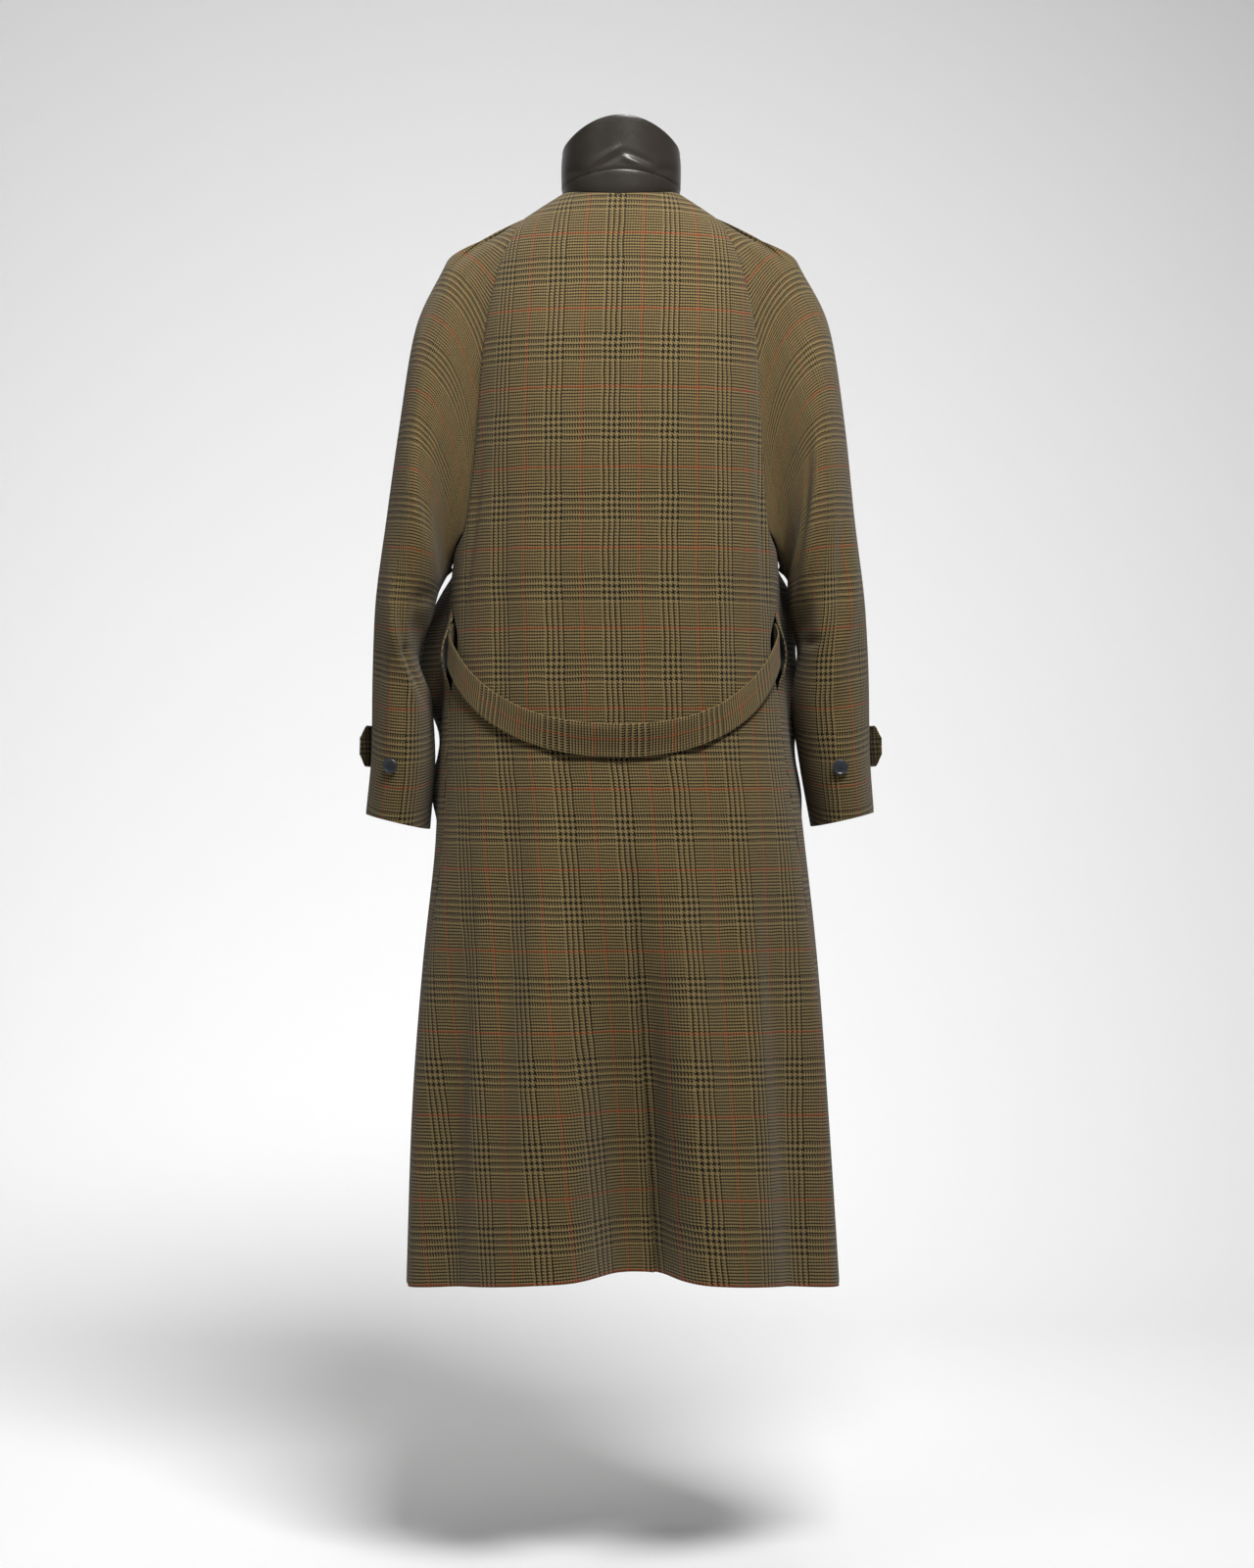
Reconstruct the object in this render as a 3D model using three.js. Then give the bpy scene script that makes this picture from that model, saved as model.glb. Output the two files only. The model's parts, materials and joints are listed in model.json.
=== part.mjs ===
// A balmacaan coat in its worn shape, with nothing inside it.
// Millimetres, +Z up. The back faces +Y, the front faces -Y, the left sleeve is on the +X side.
// The origin is at the neck: level with the neck seam at the centre back, midway across the neck.
import * as THREE from 'three';

// Cloth
const WALL = 2.4; // tweed with its lining, pressed together
const LEATHER = 2.0;
const SEAM_GAP = 0.3; // between the edges of two pieces that are sewn together
const SEAM_SHIFT = 0.55; // measured round the body, so that a slanted seam still keeps its gap
const LAYER_STEP = 6; // how far a lower layer drops where one panel laps over another

// Vent and front overlap
const VENT_TOP = -800;
const VENT_LAP = 42;
const FRONT_LAP = 26;

// Side slits that the belt comes out of
const SLIT_MIDDLE = -520;
const SLIT_HEIGHT = 98;
const SLIT_GAP = 22;
const SLIT_LIFT = 14.5;

// Belt
const BELT_WIDTH = 38;
const BELT_THICK = 3;
const BELT_MIDDLE_Z = -620;
const BELT_SIDE_Z = -517;
const BELT_SAG_POWER = 1.8;
const BELT_CLEARANCE = 4.5;
const BELT_INSIDE_ANGLE = 15.5;
const BELT_TURN_BEFORE = 0.9; // degrees before the side seam where it starts to go in
const BELT_TURN = 8.5;
const BELT_LEAN = 14;

// Collar, turned up
const STAND_HEIGHT = 26;
const STAND_END_HEIGHT = 2;
const STAND_END_ANGLE = 96;
const COLLAR_END_ANGLE = 171;
const COLLAR_BULGE = 2;
const COLLAR_SEAT = 0.8; // how far its lower edge stands off the neck seam

// Cuff tabs
const TAB_WIDTH = 50;
const TAB_TIP_SHARE = 0.45; // how much of its width is left at the tip
const TAB_THICK = 3;
const TAB_LIFT = 0.95;
const TAB_RING = 5.95; // its place down the sleeve's rings
const RING_LENGTH = 78; // from one of those rings to the next, near the cuff

// Buttons
const BUTTON_RADIUS = 9;
const BUTTON_THICK = 4;
const BUTTON_RIM = 1.6;
const BUTTON_DISH = 0.9;
const SHANK_RADIUS = 2.6;
const SHANK_HEIGHT = 1.3;
const BUTTON_SEAT = 0.4;
const CUFF_BUTTON_RING = 6.2;
const CUFF_BUTTON_ANGLE = { left: 79, right: 90 };
const FRONT_BUTTON_HEIGHTS = [-150, -300, -450, -600];

const TWEED_BACK = 0x5f4f37;
const TWEED_FRONT = 0x5a4b35;
const TWEED_SLEEVE = 0x584932;
const LEATHER_COLOUR = 0x3a3632;
const HORN_COLOUR = 0x23262c;

// The body's rings, from the neck seam down to the hem. Angles are degrees from the centre back.
// z: height at the back, side and front. half: half width on the wearer's left and right.
// y: place of the back, the widest point and the front. square: 2 is an ellipse, more is boxier.
// seam: where the back and front panels end, which is the raglan seam down to the underarm
// and the side seam below it. centre: how far the centre back seam lies from the middle.
// arm: which angle round the sleeve's rings each place on the raglan seam leads to.
const BODY_COLUMNS = ['name', 'zBack', 'zSide', 'zFront', 'halfLeft', 'halfRight', 'yBack', 'ySide', 'yFront',
  'square', 'seamBack', 'seamFront', 'centre', 'armBack', 'armFront'];
const BODY_RINGS = table(BODY_COLUMNS, [
  ['neck', 0, 9, -85, 68, 68, 62, 0, -70, 2.0, 104, 128, 3, 26, 20],
  ['yoke', -24, -12, -108, 101, 100, 78, 0, -86, 2.0, 90, 125, 4, 30, 8],
  ['shoulder', -66, -40, -148, 139, 137, 98, 0, -102, 2.1, 64, 122, 5, 42, -10],
  ['high_blade', -122, -86, -196, 163, 161, 117, 0, -119, 2.2, 60.5, 119, 5, 60, -35],
  ['blade', -196, -162, -250, 174, 172, 133, 0, -132, 2.4, 62, 117, 5, 82, -65],
  ['chest', -300, -285, -320, 181, 176, 141, 0, -140, 2.5, 64, 115, 5, 115, -105],
  ['armhole', -385, -376, -388, 189, 179, 141, 0, -141, 2.5, 68, 112, 5, 147, -142],
  ['underarm', -430, -424, -428, 194, 181, 141, 0, -141, 2.5, 89, 89, 5, 180, -180],
  ['high_waist', -510, -506, -508, 200, 183, 141, 0, -142, 2.4, 69, 69, 4, 180, -180],
  ['waist', -610, -608, -608, 206, 191, 144, 0, -146, 2.4, 72, 72, 2, 180, -180],
  ['hip', -730, -730, -728, 213, 210, 156, 0, -155, 2.3, 70, 70, -4, 180, -180],
  ['thigh', -880, -884, -876, 229, 227, 172, 0, -166, 2.2, 72, 72, -15, 180, -180],
  ['knee', -1040, -1052, -1040, 241, 239, 186, 0, -177, 2.2, 78, 78, -28, 180, -180],
  ['hem', -1214, -1239, -1230, 247, 251, 202, 0, -188, 2.2, 85, 85, -42, 180, -180],
]);
const UNDERARM = rowOf(BODY_RINGS, 'underarm');
const HEM = BODY_RINGS.length - 1;

// Large folds of the skirt and back. Each grows from nothing at zTop to its depth at the hem,
// or at zFull if that is higher. Angles run from the centre back, positive to the wearer's left.
const FOLD_COLUMNS = ['name', 'angleTop', 'angleHem', 'zTop', 'zFull', 'widthLeft', 'widthRight', 'power', 'depth'];
const BODY_FOLDS = table(FOLD_COLUMNS, [
  ['vent_valley', -2, -6, -740, -1225, 13, 9, 3.6, -88],
  ['left_bulge', 20, 26, -760, -1225, 12, 12, 2, 12],
  ['right_bulge', -22, -25, -760, -1225, 9, 13, 2, 15],
  ['left_hollow', 44, 50, -700, -1100, 9, 9, 2, -13],
  ['right_hollow', -46, -52, -700, -1100, 9, 9, 2, -15],
  ['left_side_ridge', 62, 66, -640, -1000, 8, 8, 2, 9],
  ['right_side_ridge', -62, -68, -640, -1000, 8, 8, 2, 9],
  ['left_front_fold', 128, 124, -560, -1150, 11, 11, 2, -17],
  ['right_front_fold', -126, -122, -600, -1150, 11, 11, 2, -15],
  ['left_front_bulge', 150, 148, -620, -1150, 12, 12, 2, 10],
  ['right_front_bulge', -148, -146, -620, -1150, 12, 12, 2, 10],
]);

// Swells where the cloth stands away from the body: behind each sleeve, round the slit.
const SWELL_COLUMNS = ['name', 'angle', 'width', 'z', 'height', 'depth'];
const BODY_SWELLS = table(SWELL_COLUMNS, [
  ['left_slit', 120, 16, -486, 58, 52],
  ['left_below_slit', 122, 17, -560, 56, 54],
  ['left_hanging', 119, 17, -680, 50, 32],
  ['right_slit', -119, 16, -474, 52, 42],
  ['right_below_slit', -119, 18, -575, 62, 40],
  ['right_hanging', -118, 18, -680, 50, 23],
]);

// The sleeves' rings, from the upper arm to the cuff. outer and inner are the ring's two ends
// seen from behind, yMid and halfDepth its place and half depth from front to back.
const SLEEVE_COLUMNS = ['name', 'outerX', 'outerZ', 'innerX', 'innerZ', 'yMid', 'halfDepth', 'square'];
const LEFT_SLEEVE = table(SLEEVE_COLUMNS, [
  ['shoulder', 201, -70, 201, -431, 4, 78, 2.0],
  ['cap', 236, -146, 205, -438, 4, 88, 2.0],
  ['upper_arm', 255, -262, 210, -448, 7, 93, 2.0],
  ['above_elbow', 269, -362, 220, -484, 4, 88, 2.1],
  ['elbow', 283, -470, 234, -525, -2, 84, 2.3],
  ['below_elbow', 287, -552, 220, -572, -12, 83, 2.2],
  ['forearm', 289, -630, 216, -638, -23, 83, 2.1],
  ['cuff', 297, -704, 223, -722, -40, 82, 2.1],
]);
const RIGHT_SLEEVE = table(SLEEVE_COLUMNS, [
  ['shoulder', 203, -70, 188, -430, 4, 78, 2.0],
  ['cap', 239, -144, 192, -437, 4, 88, 2.0],
  ['upper_arm', 257, -258, 192, -447, 7, 93, 2.0],
  ['above_elbow', 268, -362, 194, -478, 4, 89, 2.1],
  ['elbow', 281, -470, 203, -520, -2, 85, 2.3],
  ['below_elbow', 286, -552, 197, -574, -12, 83, 2.2],
  ['forearm', 288, -630, 206, -640, -23, 82, 2.1],
  ['cuff', 294, -702, 221, -719, -40, 81, 2.1],
]);
const CUFF = LEFT_SLEEVE.length - 1;
const OVERARM_ANGLE = 24; // the overarm seam lies this far round towards the back of the sleeve
const OVERARM_NECK_ANGLE = 115;

// Large folds of the sleeves. angle is round the sleeve: 0 outside, 90 at the back, 180 inside.
const SLEEVE_FOLD_COLUMNS = ['name', 'angle', 'width', 'ring', 'length', 'depth'];
const SLEEVE_FOLDS = table(SLEEVE_FOLD_COLUMNS, [
  ['armpit_pouch', 125, 32, 2.0, 0.9, 8],
  ['pouch_crease', 140, 22, 3.4, 0.4, -7],
  ['elbow_ridge', 105, 26, 3.9, 0.5, 6],
  ['elbow_trough', 62, 22, 4.5, 0.6, -6],
  ['front_crease', -120, 26, 4.0, 0.5, -7],
]);

// Small helpers

function table(columns, rows) {
  return rows.map((row) => Object.fromEntries(columns.map((column, i) => [column, row[i]])));
}

function rowOf(rows, name) {
  return rows.findIndex((row) => row.name === name);
}

const radians = (degrees) => degrees * Math.PI / 180;
const mix = (a, b, share) => a + (b - a) * share;
const clamp01 = (value) => Math.min(1, Math.max(0, value));

function ease(value) {
  const s = clamp01(value);
  return s * s * (3 - 2 * s);
}

// A smooth curve through one column of a table that never overshoots its rows.
function smooth(rows, column, place) {
  const last = rows.length - 1;
  const i = Math.min(last - 1, Math.max(0, Math.floor(place)));
  const s = place - i;
  const value = (k) => rows[k][column];
  const slope = (k) => {
    if (k === 0 || k === last) return value(Math.min(k + 1, last)) - value(Math.max(k - 1, 0));
    const before = value(k) - value(k - 1);
    const after = value(k + 1) - value(k);
    return before * after <= 0 ? 0 : 2 * before * after / (before + after);
  };
  const a = value(i);
  const b = value(i + 1);
  const s2 = s * s;
  const s3 = s2 * s;
  return a * (2 * s3 - 3 * s2 + 1) + b * (3 * s2 - 2 * s3)
    + slope(i) * (s3 - 2 * s2 + s) + slope(i + 1) * (s3 - s2);
}

const roundPower = (value, square) => Math.sign(value) * Math.abs(value) ** (2 / square);

function spread(start, end, count) {
  return Array.from({ length: count + 1 }, (_, i) => mix(start, end, i / count));
}

// The body

function foldDepth(angle, z) {
  let depth = 0;
  for (const fold of BODY_FOLDS) {
    const grown = ease((fold.zTop - z) / (fold.zTop - fold.zFull));
    if (grown === 0) continue;
    const away = angle - mix(fold.angleTop, fold.angleHem, grown);
    const width = away > 0 ? fold.widthLeft : fold.widthRight;
    depth += fold.depth * grown * Math.exp(-(Math.abs(away / width) ** fold.power));
  }
  for (const swell of BODY_SWELLS) {
    const round = (angle - swell.angle) / swell.width;
    const down = (z - swell.z) / swell.height;
    depth += swell.depth * Math.exp(-round * round - down * down);
  }
  return depth;
}

// A point of the body's cloth: angle from the centre back, ring number from the neck, and how far out.
function bodyPoint(angle, ring, out = 0) {
  const turn = radians(angle);
  const across = Math.sin(turn);
  const along = Math.cos(turn);
  const square = smooth(BODY_RINGS, 'square', ring);
  const half = smooth(BODY_RINGS, across >= 0 ? 'halfLeft' : 'halfRight', ring);
  const ySide = smooth(BODY_RINGS, 'ySide', ring);
  const yEnd = smooth(BODY_RINGS, along >= 0 ? 'yBack' : 'yFront', ring);
  const zSide = smooth(BODY_RINGS, 'zSide', ring);
  const zEnd = smooth(BODY_RINGS, along >= 0 ? 'zBack' : 'zFront', ring);
  const z = zSide + (zEnd - zSide) * along * along;
  const moved = foldDepth(angle, z) + out;
  const x = half * roundPower(across, square);
  const y = ySide + (yEnd - ySide) * Math.abs(roundPower(along, square));
  return new THREE.Vector3(x + moved * across, y + moved * along, z);
}

function normalOf(pointAt, u, v, stepU, stepV) {
  const a = pointAt(u + stepU, v).sub(pointAt(u - stepU, v));
  const b = pointAt(u, v + stepV).sub(pointAt(u, v - stepV));
  return a.cross(b).normalize();
}

function bodyNormal(angle, ring) {
  return normalOf(bodyPoint, angle, Math.min(HEM - 0.01, Math.max(0.01, ring)), 0.2, 0.01);
}

// The ring number at which the side of the body reaches a height.
function ringAtHeight(z) {
  let low = 0;
  let high = HEM;
  for (let i = 0; i < 40; i += 1) {
    const middle = (low + high) / 2;
    if (smooth(BODY_RINGS, 'zSide', middle) > z) low = middle;
    else high = middle;
  }
  return (low + high) / 2;
}

function angleOf(length, ring) {
  return length / smooth(BODY_RINGS, 'halfLeft', ring) * 180 / Math.PI;
}

const centreAngle = (ring) => -angleOf(-smooth(BODY_RINGS, 'centre', ring), ring);
const slitShare = (z) => Math.sin(Math.PI * clamp01((z - SLIT_MIDDLE) / SLIT_HEIGHT + 0.5)) ** 1.5;

function sideSlit(ring) {
  return slitShare(smooth(BODY_RINGS, 'zSide', ring));
}

// Both panels share one side seam below the underarm.
function seamLine(column, ring) {
  return smooth(BODY_RINGS, ring > UNDERARM ? 'seamBack' : column, ring);
}

// Where a panel ends at its raglan or side seam. The slit parts the two panels.
function seamAngle(column, ring, side) {
  const away = column === 'seamBack' ? -1 : 1;
  const gap = SEAM_SHIFT / 2 + SLIT_GAP / 2 * sideSlit(ring);
  return side * (seamLine(column, ring) + away * angleOf(gap, ring));
}

const UPPER_ROWS = [0, 0.5, 1, 1.5, 2, 2.6, 3.2, 3.9, 4.25, 4.6, 5.3, 6, 6.4, 6.75, 7];
const VENT_ROW = ringAtHeight(VENT_TOP);
const LOWER_ROWS = [7.3, 7.6, 7.8, 8.05, 8.3, 8.55, 9, 9.5, 10, VENT_ROW, VENT_ROW + 0.12,
  11, 11.5, 12, 12.4, 12.7, 13];
const BODY_ROWS = [...UPPER_ROWS, ...LOWER_ROWS];

// Builds one closed wall from a grid of outer points and the normals there.
function wallGeometry(columns, rows, outerAt, normalAt, wall) {
  const outer = [];
  const inner = [];
  for (const v of rows) {
    for (const u of columns) {
      const point = outerAt(u, v);
      outer.push(point);
      inner.push(point.clone().addScaledVector(normalAt(u, v), -wall));
    }
  }
  return gridSolid(outer, inner, columns.length, rows.length);
}

// Joins two grids of points, outer and inner, into one closed body.
function gridSolid(outer, inner, across, down) {
  const half = across * down;
  const faces = [];
  const quad = (a, b, c, d) => faces.push(a, b, c, a, c, d);
  const at = (i, j) => j * across + i;
  for (let j = 0; j < down - 1; j += 1) {
    for (let i = 0; i < across - 1; i += 1) {
      const [a, b, c, d] = [at(i, j), at(i, j + 1), at(i + 1, j + 1), at(i + 1, j)];
      quad(a, b, c, d);
      quad(half + a, half + d, half + c, half + b);
    }
  }
  const rim = [];
  for (let i = 0; i < across - 1; i += 1) rim.push(at(i, 0));
  for (let j = 0; j < down - 1; j += 1) rim.push(at(across - 1, j));
  for (let i = across - 1; i > 0; i -= 1) rim.push(at(i, down - 1));
  for (let j = down - 1; j > 0; j -= 1) rim.push(at(0, j));
  rim.forEach((a, k) => {
    const b = rim[(k + 1) % rim.length];
    quad(a, b, half + b, half + a);
  });
  const geometry = new THREE.BufferGeometry();
  const positions = [...outer, ...inner].flatMap((point) => point.toArray());
  geometry.setAttribute('position', new THREE.Float32BufferAttribute(positions, 3));
  geometry.setIndex(faces);
  return facingOut(geometry);
}

// Turns every face round if the body would otherwise enclose a negative volume.
function facingOut(geometry) {
  const place = geometry.getAttribute('position');
  const index = geometry.getIndex();
  const corner = [new THREE.Vector3(), new THREE.Vector3(), new THREE.Vector3()];
  let volume = 0;
  for (let i = 0; i < index.count; i += 3) {
    corner.forEach((point, k) => point.fromBufferAttribute(place, index.getX(i + k)));
    volume += corner[0].dot(corner[1].clone().cross(corner[2]));
  }
  if (volume < 0) {
    for (let i = 0; i < index.count; i += 3) {
      const second = index.getX(i + 1);
      index.setX(i + 1, index.getX(i + 2));
      index.setX(i + 2, second);
    }
  }
  geometry.computeVertexNormals();
  return geometry;
}

const model = new THREE.Group();

function addMesh(name, geometry, colour, roughness) {
  const material = new THREE.MeshStandardMaterial({ color: colour, roughness, metalness: 0 });
  const mesh = new THREE.Mesh(geometry, material);
  mesh.name = name;
  model.add(mesh);
  return mesh;
}

// Back panels. The left one laps over the right one down the vent.

function lowered(angle, ring, drop) {
  return bodyPoint(angle, ring).addScaledVector(bodyNormal(angle, ring), -drop);
}

function ventDrop(angle, ring) {
  const below = ease((ring - (VENT_ROW - 0.5)) / 0.5);
  return below * ease((angle - centreAngle(ring) + 6) / 5);
}

// Spreads a panel's columns evenly, and lets only the last few follow the dip of the armhole.
function panelAngle(from, column, ring, side, share) {
  const seam = seamAngle(column, ring, side);
  const high = rowOf(BODY_RINGS, 'chest');
  const low = rowOf(BODY_RINGS, 'waist');
  const beside = ring > high && ring < low;
  const guide = beside
    ? mix(seamAngle(column, high, side), seamAngle('seamBack', low, side), (ring - high) / (low - high))
    : seam;
  return mix(from, guide, share) + (seam - guide) * share ** 4;
}

function leftBackPanel() {
  const columns = [0, 0.02, 0.045, 0.07, 0.1, 0.14, 0.19, 0.25, 0.32, 0.4, 0.49, 0.58, 0.68, 0.78, 0.87, 0.95, 1];
  const angleAt = (u, ring) => panelAngle(centreAngle(ring) + angleOf(SEAM_SHIFT / 2, ring), 'seamBack', ring, 1, u);
  return wallGeometry(columns, BODY_ROWS,
    (u, ring) => bodyPoint(angleAt(u, ring), ring),
    (u, ring) => bodyNormal(angleAt(u, ring), ring), WALL);
}

function rightBackPanel() {
  const columns = [0, 0.22, 0.45, 0.7, 1, 1.03, 1.06, 1.1, 1.15, 1.21, 1.28, 1.36, 1.45, 1.54, 1.64, 1.75, 1.86, 1.95, 2];
  const angleAt = (u, ring) => {
    const centre = centreAngle(ring);
    const seam = centre - angleOf(SEAM_SHIFT / 2 + 0.6, ring);
    const lap = ring > VENT_ROW + 0.01 ? angleOf(VENT_LAP, ring) : angleOf(-SEAM_SHIFT / 2, ring);
    return u <= 1 ? mix(centre + lap, seam, u) : panelAngle(seam, 'seamBack', ring, -1, u - 1);
  };
  return wallGeometry(columns, BODY_ROWS,
    (u, ring) => lowered(angleAt(u, ring), ring, LAYER_STEP * ventDrop(angleAt(u, ring), ring)),
    (u, ring) => bodyNormal(angleAt(u, ring), ring), WALL);
}

// Front panels. The left one laps over the right one, and each is lifted at its slit.

function slitLift(angle, ring, side) {
  const edge = smooth(BODY_RINGS, 'seamFront', ring);
  return SLIT_LIFT * sideSlit(ring) * (1 - ease((side * angle - edge) / 16));
}

function frontPanel(side) {
  const columns = [0, 0.05, 0.12, 0.21, 0.32, 0.43, 0.54, 0.65, 0.76, 0.86, 0.94, 1];
  const angleAt = (u, ring) => {
    const edge = 180 + angleOf(FRONT_LAP, ring);
    return panelAngle(side * edge, 'seamFront', ring, side, 1 - u);
  };
  const dropAt = (angle, ring) => {
    const clear = 180 - angleOf(FRONT_LAP, ring) - angleOf(16, ring);
    return side > 0 ? 0 : LAYER_STEP * ease((-angle - clear) / angleOf(12, ring));
  };
  return wallGeometry(columns, BODY_ROWS,
    (u, ring) => {
      const angle = angleAt(u, ring);
      return lowered(angle, ring, dropAt(angle, ring) - slitLift(angle, ring, side));
    },
    (u, ring) => bodyNormal(angleAt(u, ring), ring), WALL);
}

// Sleeves. Each runs from the raglan seam on the body to the cuff, and is cut
// into a back and a front piece along the overarm and underarm seams.

function armPoint(rows, side, angle, ring) {
  const turn = radians(angle);
  const get = (column) => smooth(rows, column, ring);
  const square = get('square');
  const out = roundPower(Math.cos(turn), square);
  const back = roundPower(Math.sin(turn), square);
  let moved = 0;
  for (const fold of SLEEVE_FOLDS) {
    const round = (angle - fold.angle + 540) % 360 - 180;
    const down = (ring - fold.ring) / fold.length;
    moved += fold.depth * Math.exp(-((round / fold.width) ** 2) - down * down);
  }
  const x = (get('outerX') + get('innerX')) / 2 + out * (get('outerX') - get('innerX')) / 2;
  const z = (get('outerZ') + get('innerZ')) / 2 + out * (get('outerZ') - get('innerZ')) / 2;
  const y = get('yMid') + back * get('halfDepth');
  return new THREE.Vector3(side * (x + moved * Math.cos(turn)), y + moved * Math.sin(turn), z);
}

// Where the sleeve starts: a short way along the neck, then down the raglan seam to the underarm.
// share runs from 0 at the overarm seam to 1 at the underarm, half is 1 for the back and -1 for the front.
const NECK_SHARE = 0.08;
const SEAM_SPREAD = 0.35;
const UNDERARM_GAP = 0.02;
const ARRIVE_SHARE = 0.6; // how firmly the cap turns down into the arm

function sleeveStart(share, half, side) {
  const column = half > 0 ? 'seamBack' : 'seamFront';
  const shift = half > 0 ? SEAM_SHIFT / 2 : -SEAM_SHIFT / 2;
  const down = (share - NECK_SHARE) / (1 - NECK_SHARE) * UNDERARM;
  const ring = share <= NECK_SHARE ? 0 : Math.min(down, UNDERARM - UNDERARM_GAP);
  const seam = smooth(BODY_RINGS, column, ring) + angleOf(shift * (1 - ease((share - 0.9) * 10)), ring);
  const angle = share <= NECK_SHARE ? mix(OVERARM_NECK_ANGLE, seam, share / NECK_SHARE) : seam;
  return { angle: side * angle, ring };
}

// The direction in the body's own surface that leads from the seam into the sleeve.
function awayFromSeam(share, half, side, normal) {
  const before = sleeveStart(Math.max(0, share - 0.01), half, side);
  const after = sleeveStart(Math.min(1, share + 0.01), half, side);
  const along = bodyPoint(after.angle, after.ring).sub(bodyPoint(before.angle, before.ring));
  return along.cross(normal).multiplyScalar(side * half).normalize();
}

function sleevePoint(rows, side, half, share, place) {
  const start = sleeveStart(share, half, side);
  const column = half > 0 ? 'armBack' : 'armFront';
  const round = share <= NECK_SHARE
    ? mix(OVERARM_ANGLE, BODY_RINGS[0][column], share / NECK_SHARE)
    : smooth(BODY_RINGS, column, (share - NECK_SHARE) / (1 - NECK_SHARE) * UNDERARM);
  if (place >= 1) return armPoint(rows, side, round, place - 1);
  const from = bodyPoint(start.angle, start.ring);
  const to = armPoint(rows, side, round, 0);
  const straight = to.clone().sub(from);
  const reach = straight.length();
  const arrive = armPoint(rows, side, round, 0.02).sub(to).normalize().multiplyScalar(reach * ARRIVE_SHARE);
  const normal = bodyNormal(start.angle, start.ring);
  const leave = straight.clone().multiplyScalar(1.5).addScaledVector(arrive, -0.5);
  leave.addScaledVector(normal, -leave.dot(normal)).normalize();
  leave.addScaledVector(awayFromSeam(share, half, side, normal), SEAM_SPREAD).normalize().multiplyScalar(reach);
  leave.lerp(straight, ease((share - 0.8) / 0.2));
  const s = place;
  const s2 = s * s;
  const s3 = s2 * s;
  return from.clone().multiplyScalar(2 * s3 - 3 * s2 + 1)
    .addScaledVector(leave, s3 - 2 * s2 + s)
    .addScaledVector(to, 3 * s2 - 2 * s3)
    .addScaledVector(arrive, s3 - s2);
}

// Both halves share one normal along the overarm and underarm seams, so that their walls end side by side.
function sleeveNormal(rows, side, half, share, place) {
  const own = halfSleeveNormal(rows, side, half, share, place);
  return share > 0 && share < 1 ? own : own.add(halfSleeveNormal(rows, side, -half, share, place)).normalize();
}

function halfSleeveNormal(rows, side, half, share, place) {
  const u = Math.min(0.998, Math.max(0.002, share));
  const v = Math.min(CUFF + 0.99, Math.max(0.015, place));
  const pointAt = (a, b) => sleevePoint(rows, side, half, a, b);
  return normalOf(pointAt, u, v, 0.002, 0.01).multiplyScalar(-side * half);
}

function sleevePanel(rows, side, half) {
  const seamRows = UPPER_ROWS.map((ring) => NECK_SHARE + ring / UNDERARM * (1 - NECK_SHARE));
  const shares = [0, ...seamRows];
  const places = [0, 0.25, 0.5, 0.75, 1, 1.5, 2, 2.5, 3, 3.5, 4, 4.5, 5, 5.5, 6, 6.5, 7.2, CUFF + 1];
  const gap = SEAM_GAP / 2;
  return wallGeometry(shares, places,
    (share, place) => {
      const point = sleevePoint(rows, side, half, share, place);
      if (share > 0 && share < 1) return point;
      const inward = sleevePoint(rows, side, half, share === 0 ? 0.01 : 0.99, place).sub(point).normalize();
      return point.addScaledVector(inward, gap);
    },
    (share, place) => sleeveNormal(rows, side, half, share, place), WALL);
}

// The collar, turned up. Its stand is a crescent that runs out at the sides of the neck.

const COLLAR_COLUMNS = ['name', 'zBack', 'zSide', 'zFront', 'half', 'yBack', 'yFront'];
const COLLAR_RINGS = table(COLLAR_COLUMNS, [
  ['seam', 0, 9, -85, 68, 62, -70],
  ['middle', 44, 37, -42, 67, 66, -84],
  ['top', 87, 61, 2, 67, 73, -96],
]);

function collarPoint(angle, share) {
  const turn = radians(angle);
  const across = Math.sin(turn);
  const along = Math.cos(turn);
  const get = (column) => smooth(COLLAR_RINGS, column, share * 2);
  const bulge = COLLAR_BULGE * Math.sin(Math.PI * share);
  const zEnd = get(along >= 0 ? 'zBack' : 'zFront');
  const yEnd = get(along >= 0 ? 'yBack' : 'yFront');
  const z = get('zSide') + (zEnd - get('zSide')) * along * along + COLLAR_SEAT * (1 - share);
  return new THREE.Vector3((get('half') + bulge) * across, (Math.abs(yEnd) + bulge) * Math.abs(along) * Math.sign(along), z);
}

function collarNormal(angle, share) {
  return normalOf(collarPoint, angle, Math.min(0.99, Math.max(0.01, share)), 0.5, 0.01).negate();
}

const COLLAR_HEIGHT = COLLAR_RINGS[2].zBack;

function standShare(angle) {
  const fade = clamp01(Math.abs(angle) / STAND_END_ANGLE);
  return mix(STAND_END_HEIGHT, STAND_HEIGHT, Math.cos(fade * Math.PI / 2) ** 1.2) / COLLAR_HEIGHT;
}

function collarStand() {
  const columns = spread(-STAND_END_ANGLE, STAND_END_ANGLE, 22);
  return wallGeometry(columns, [0, 0.5, 1],
    (angle, v) => collarPoint(angle, v * standShare(angle)),
    (angle, v) => collarNormal(angle, v * standShare(angle)), LEATHER);
}

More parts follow.
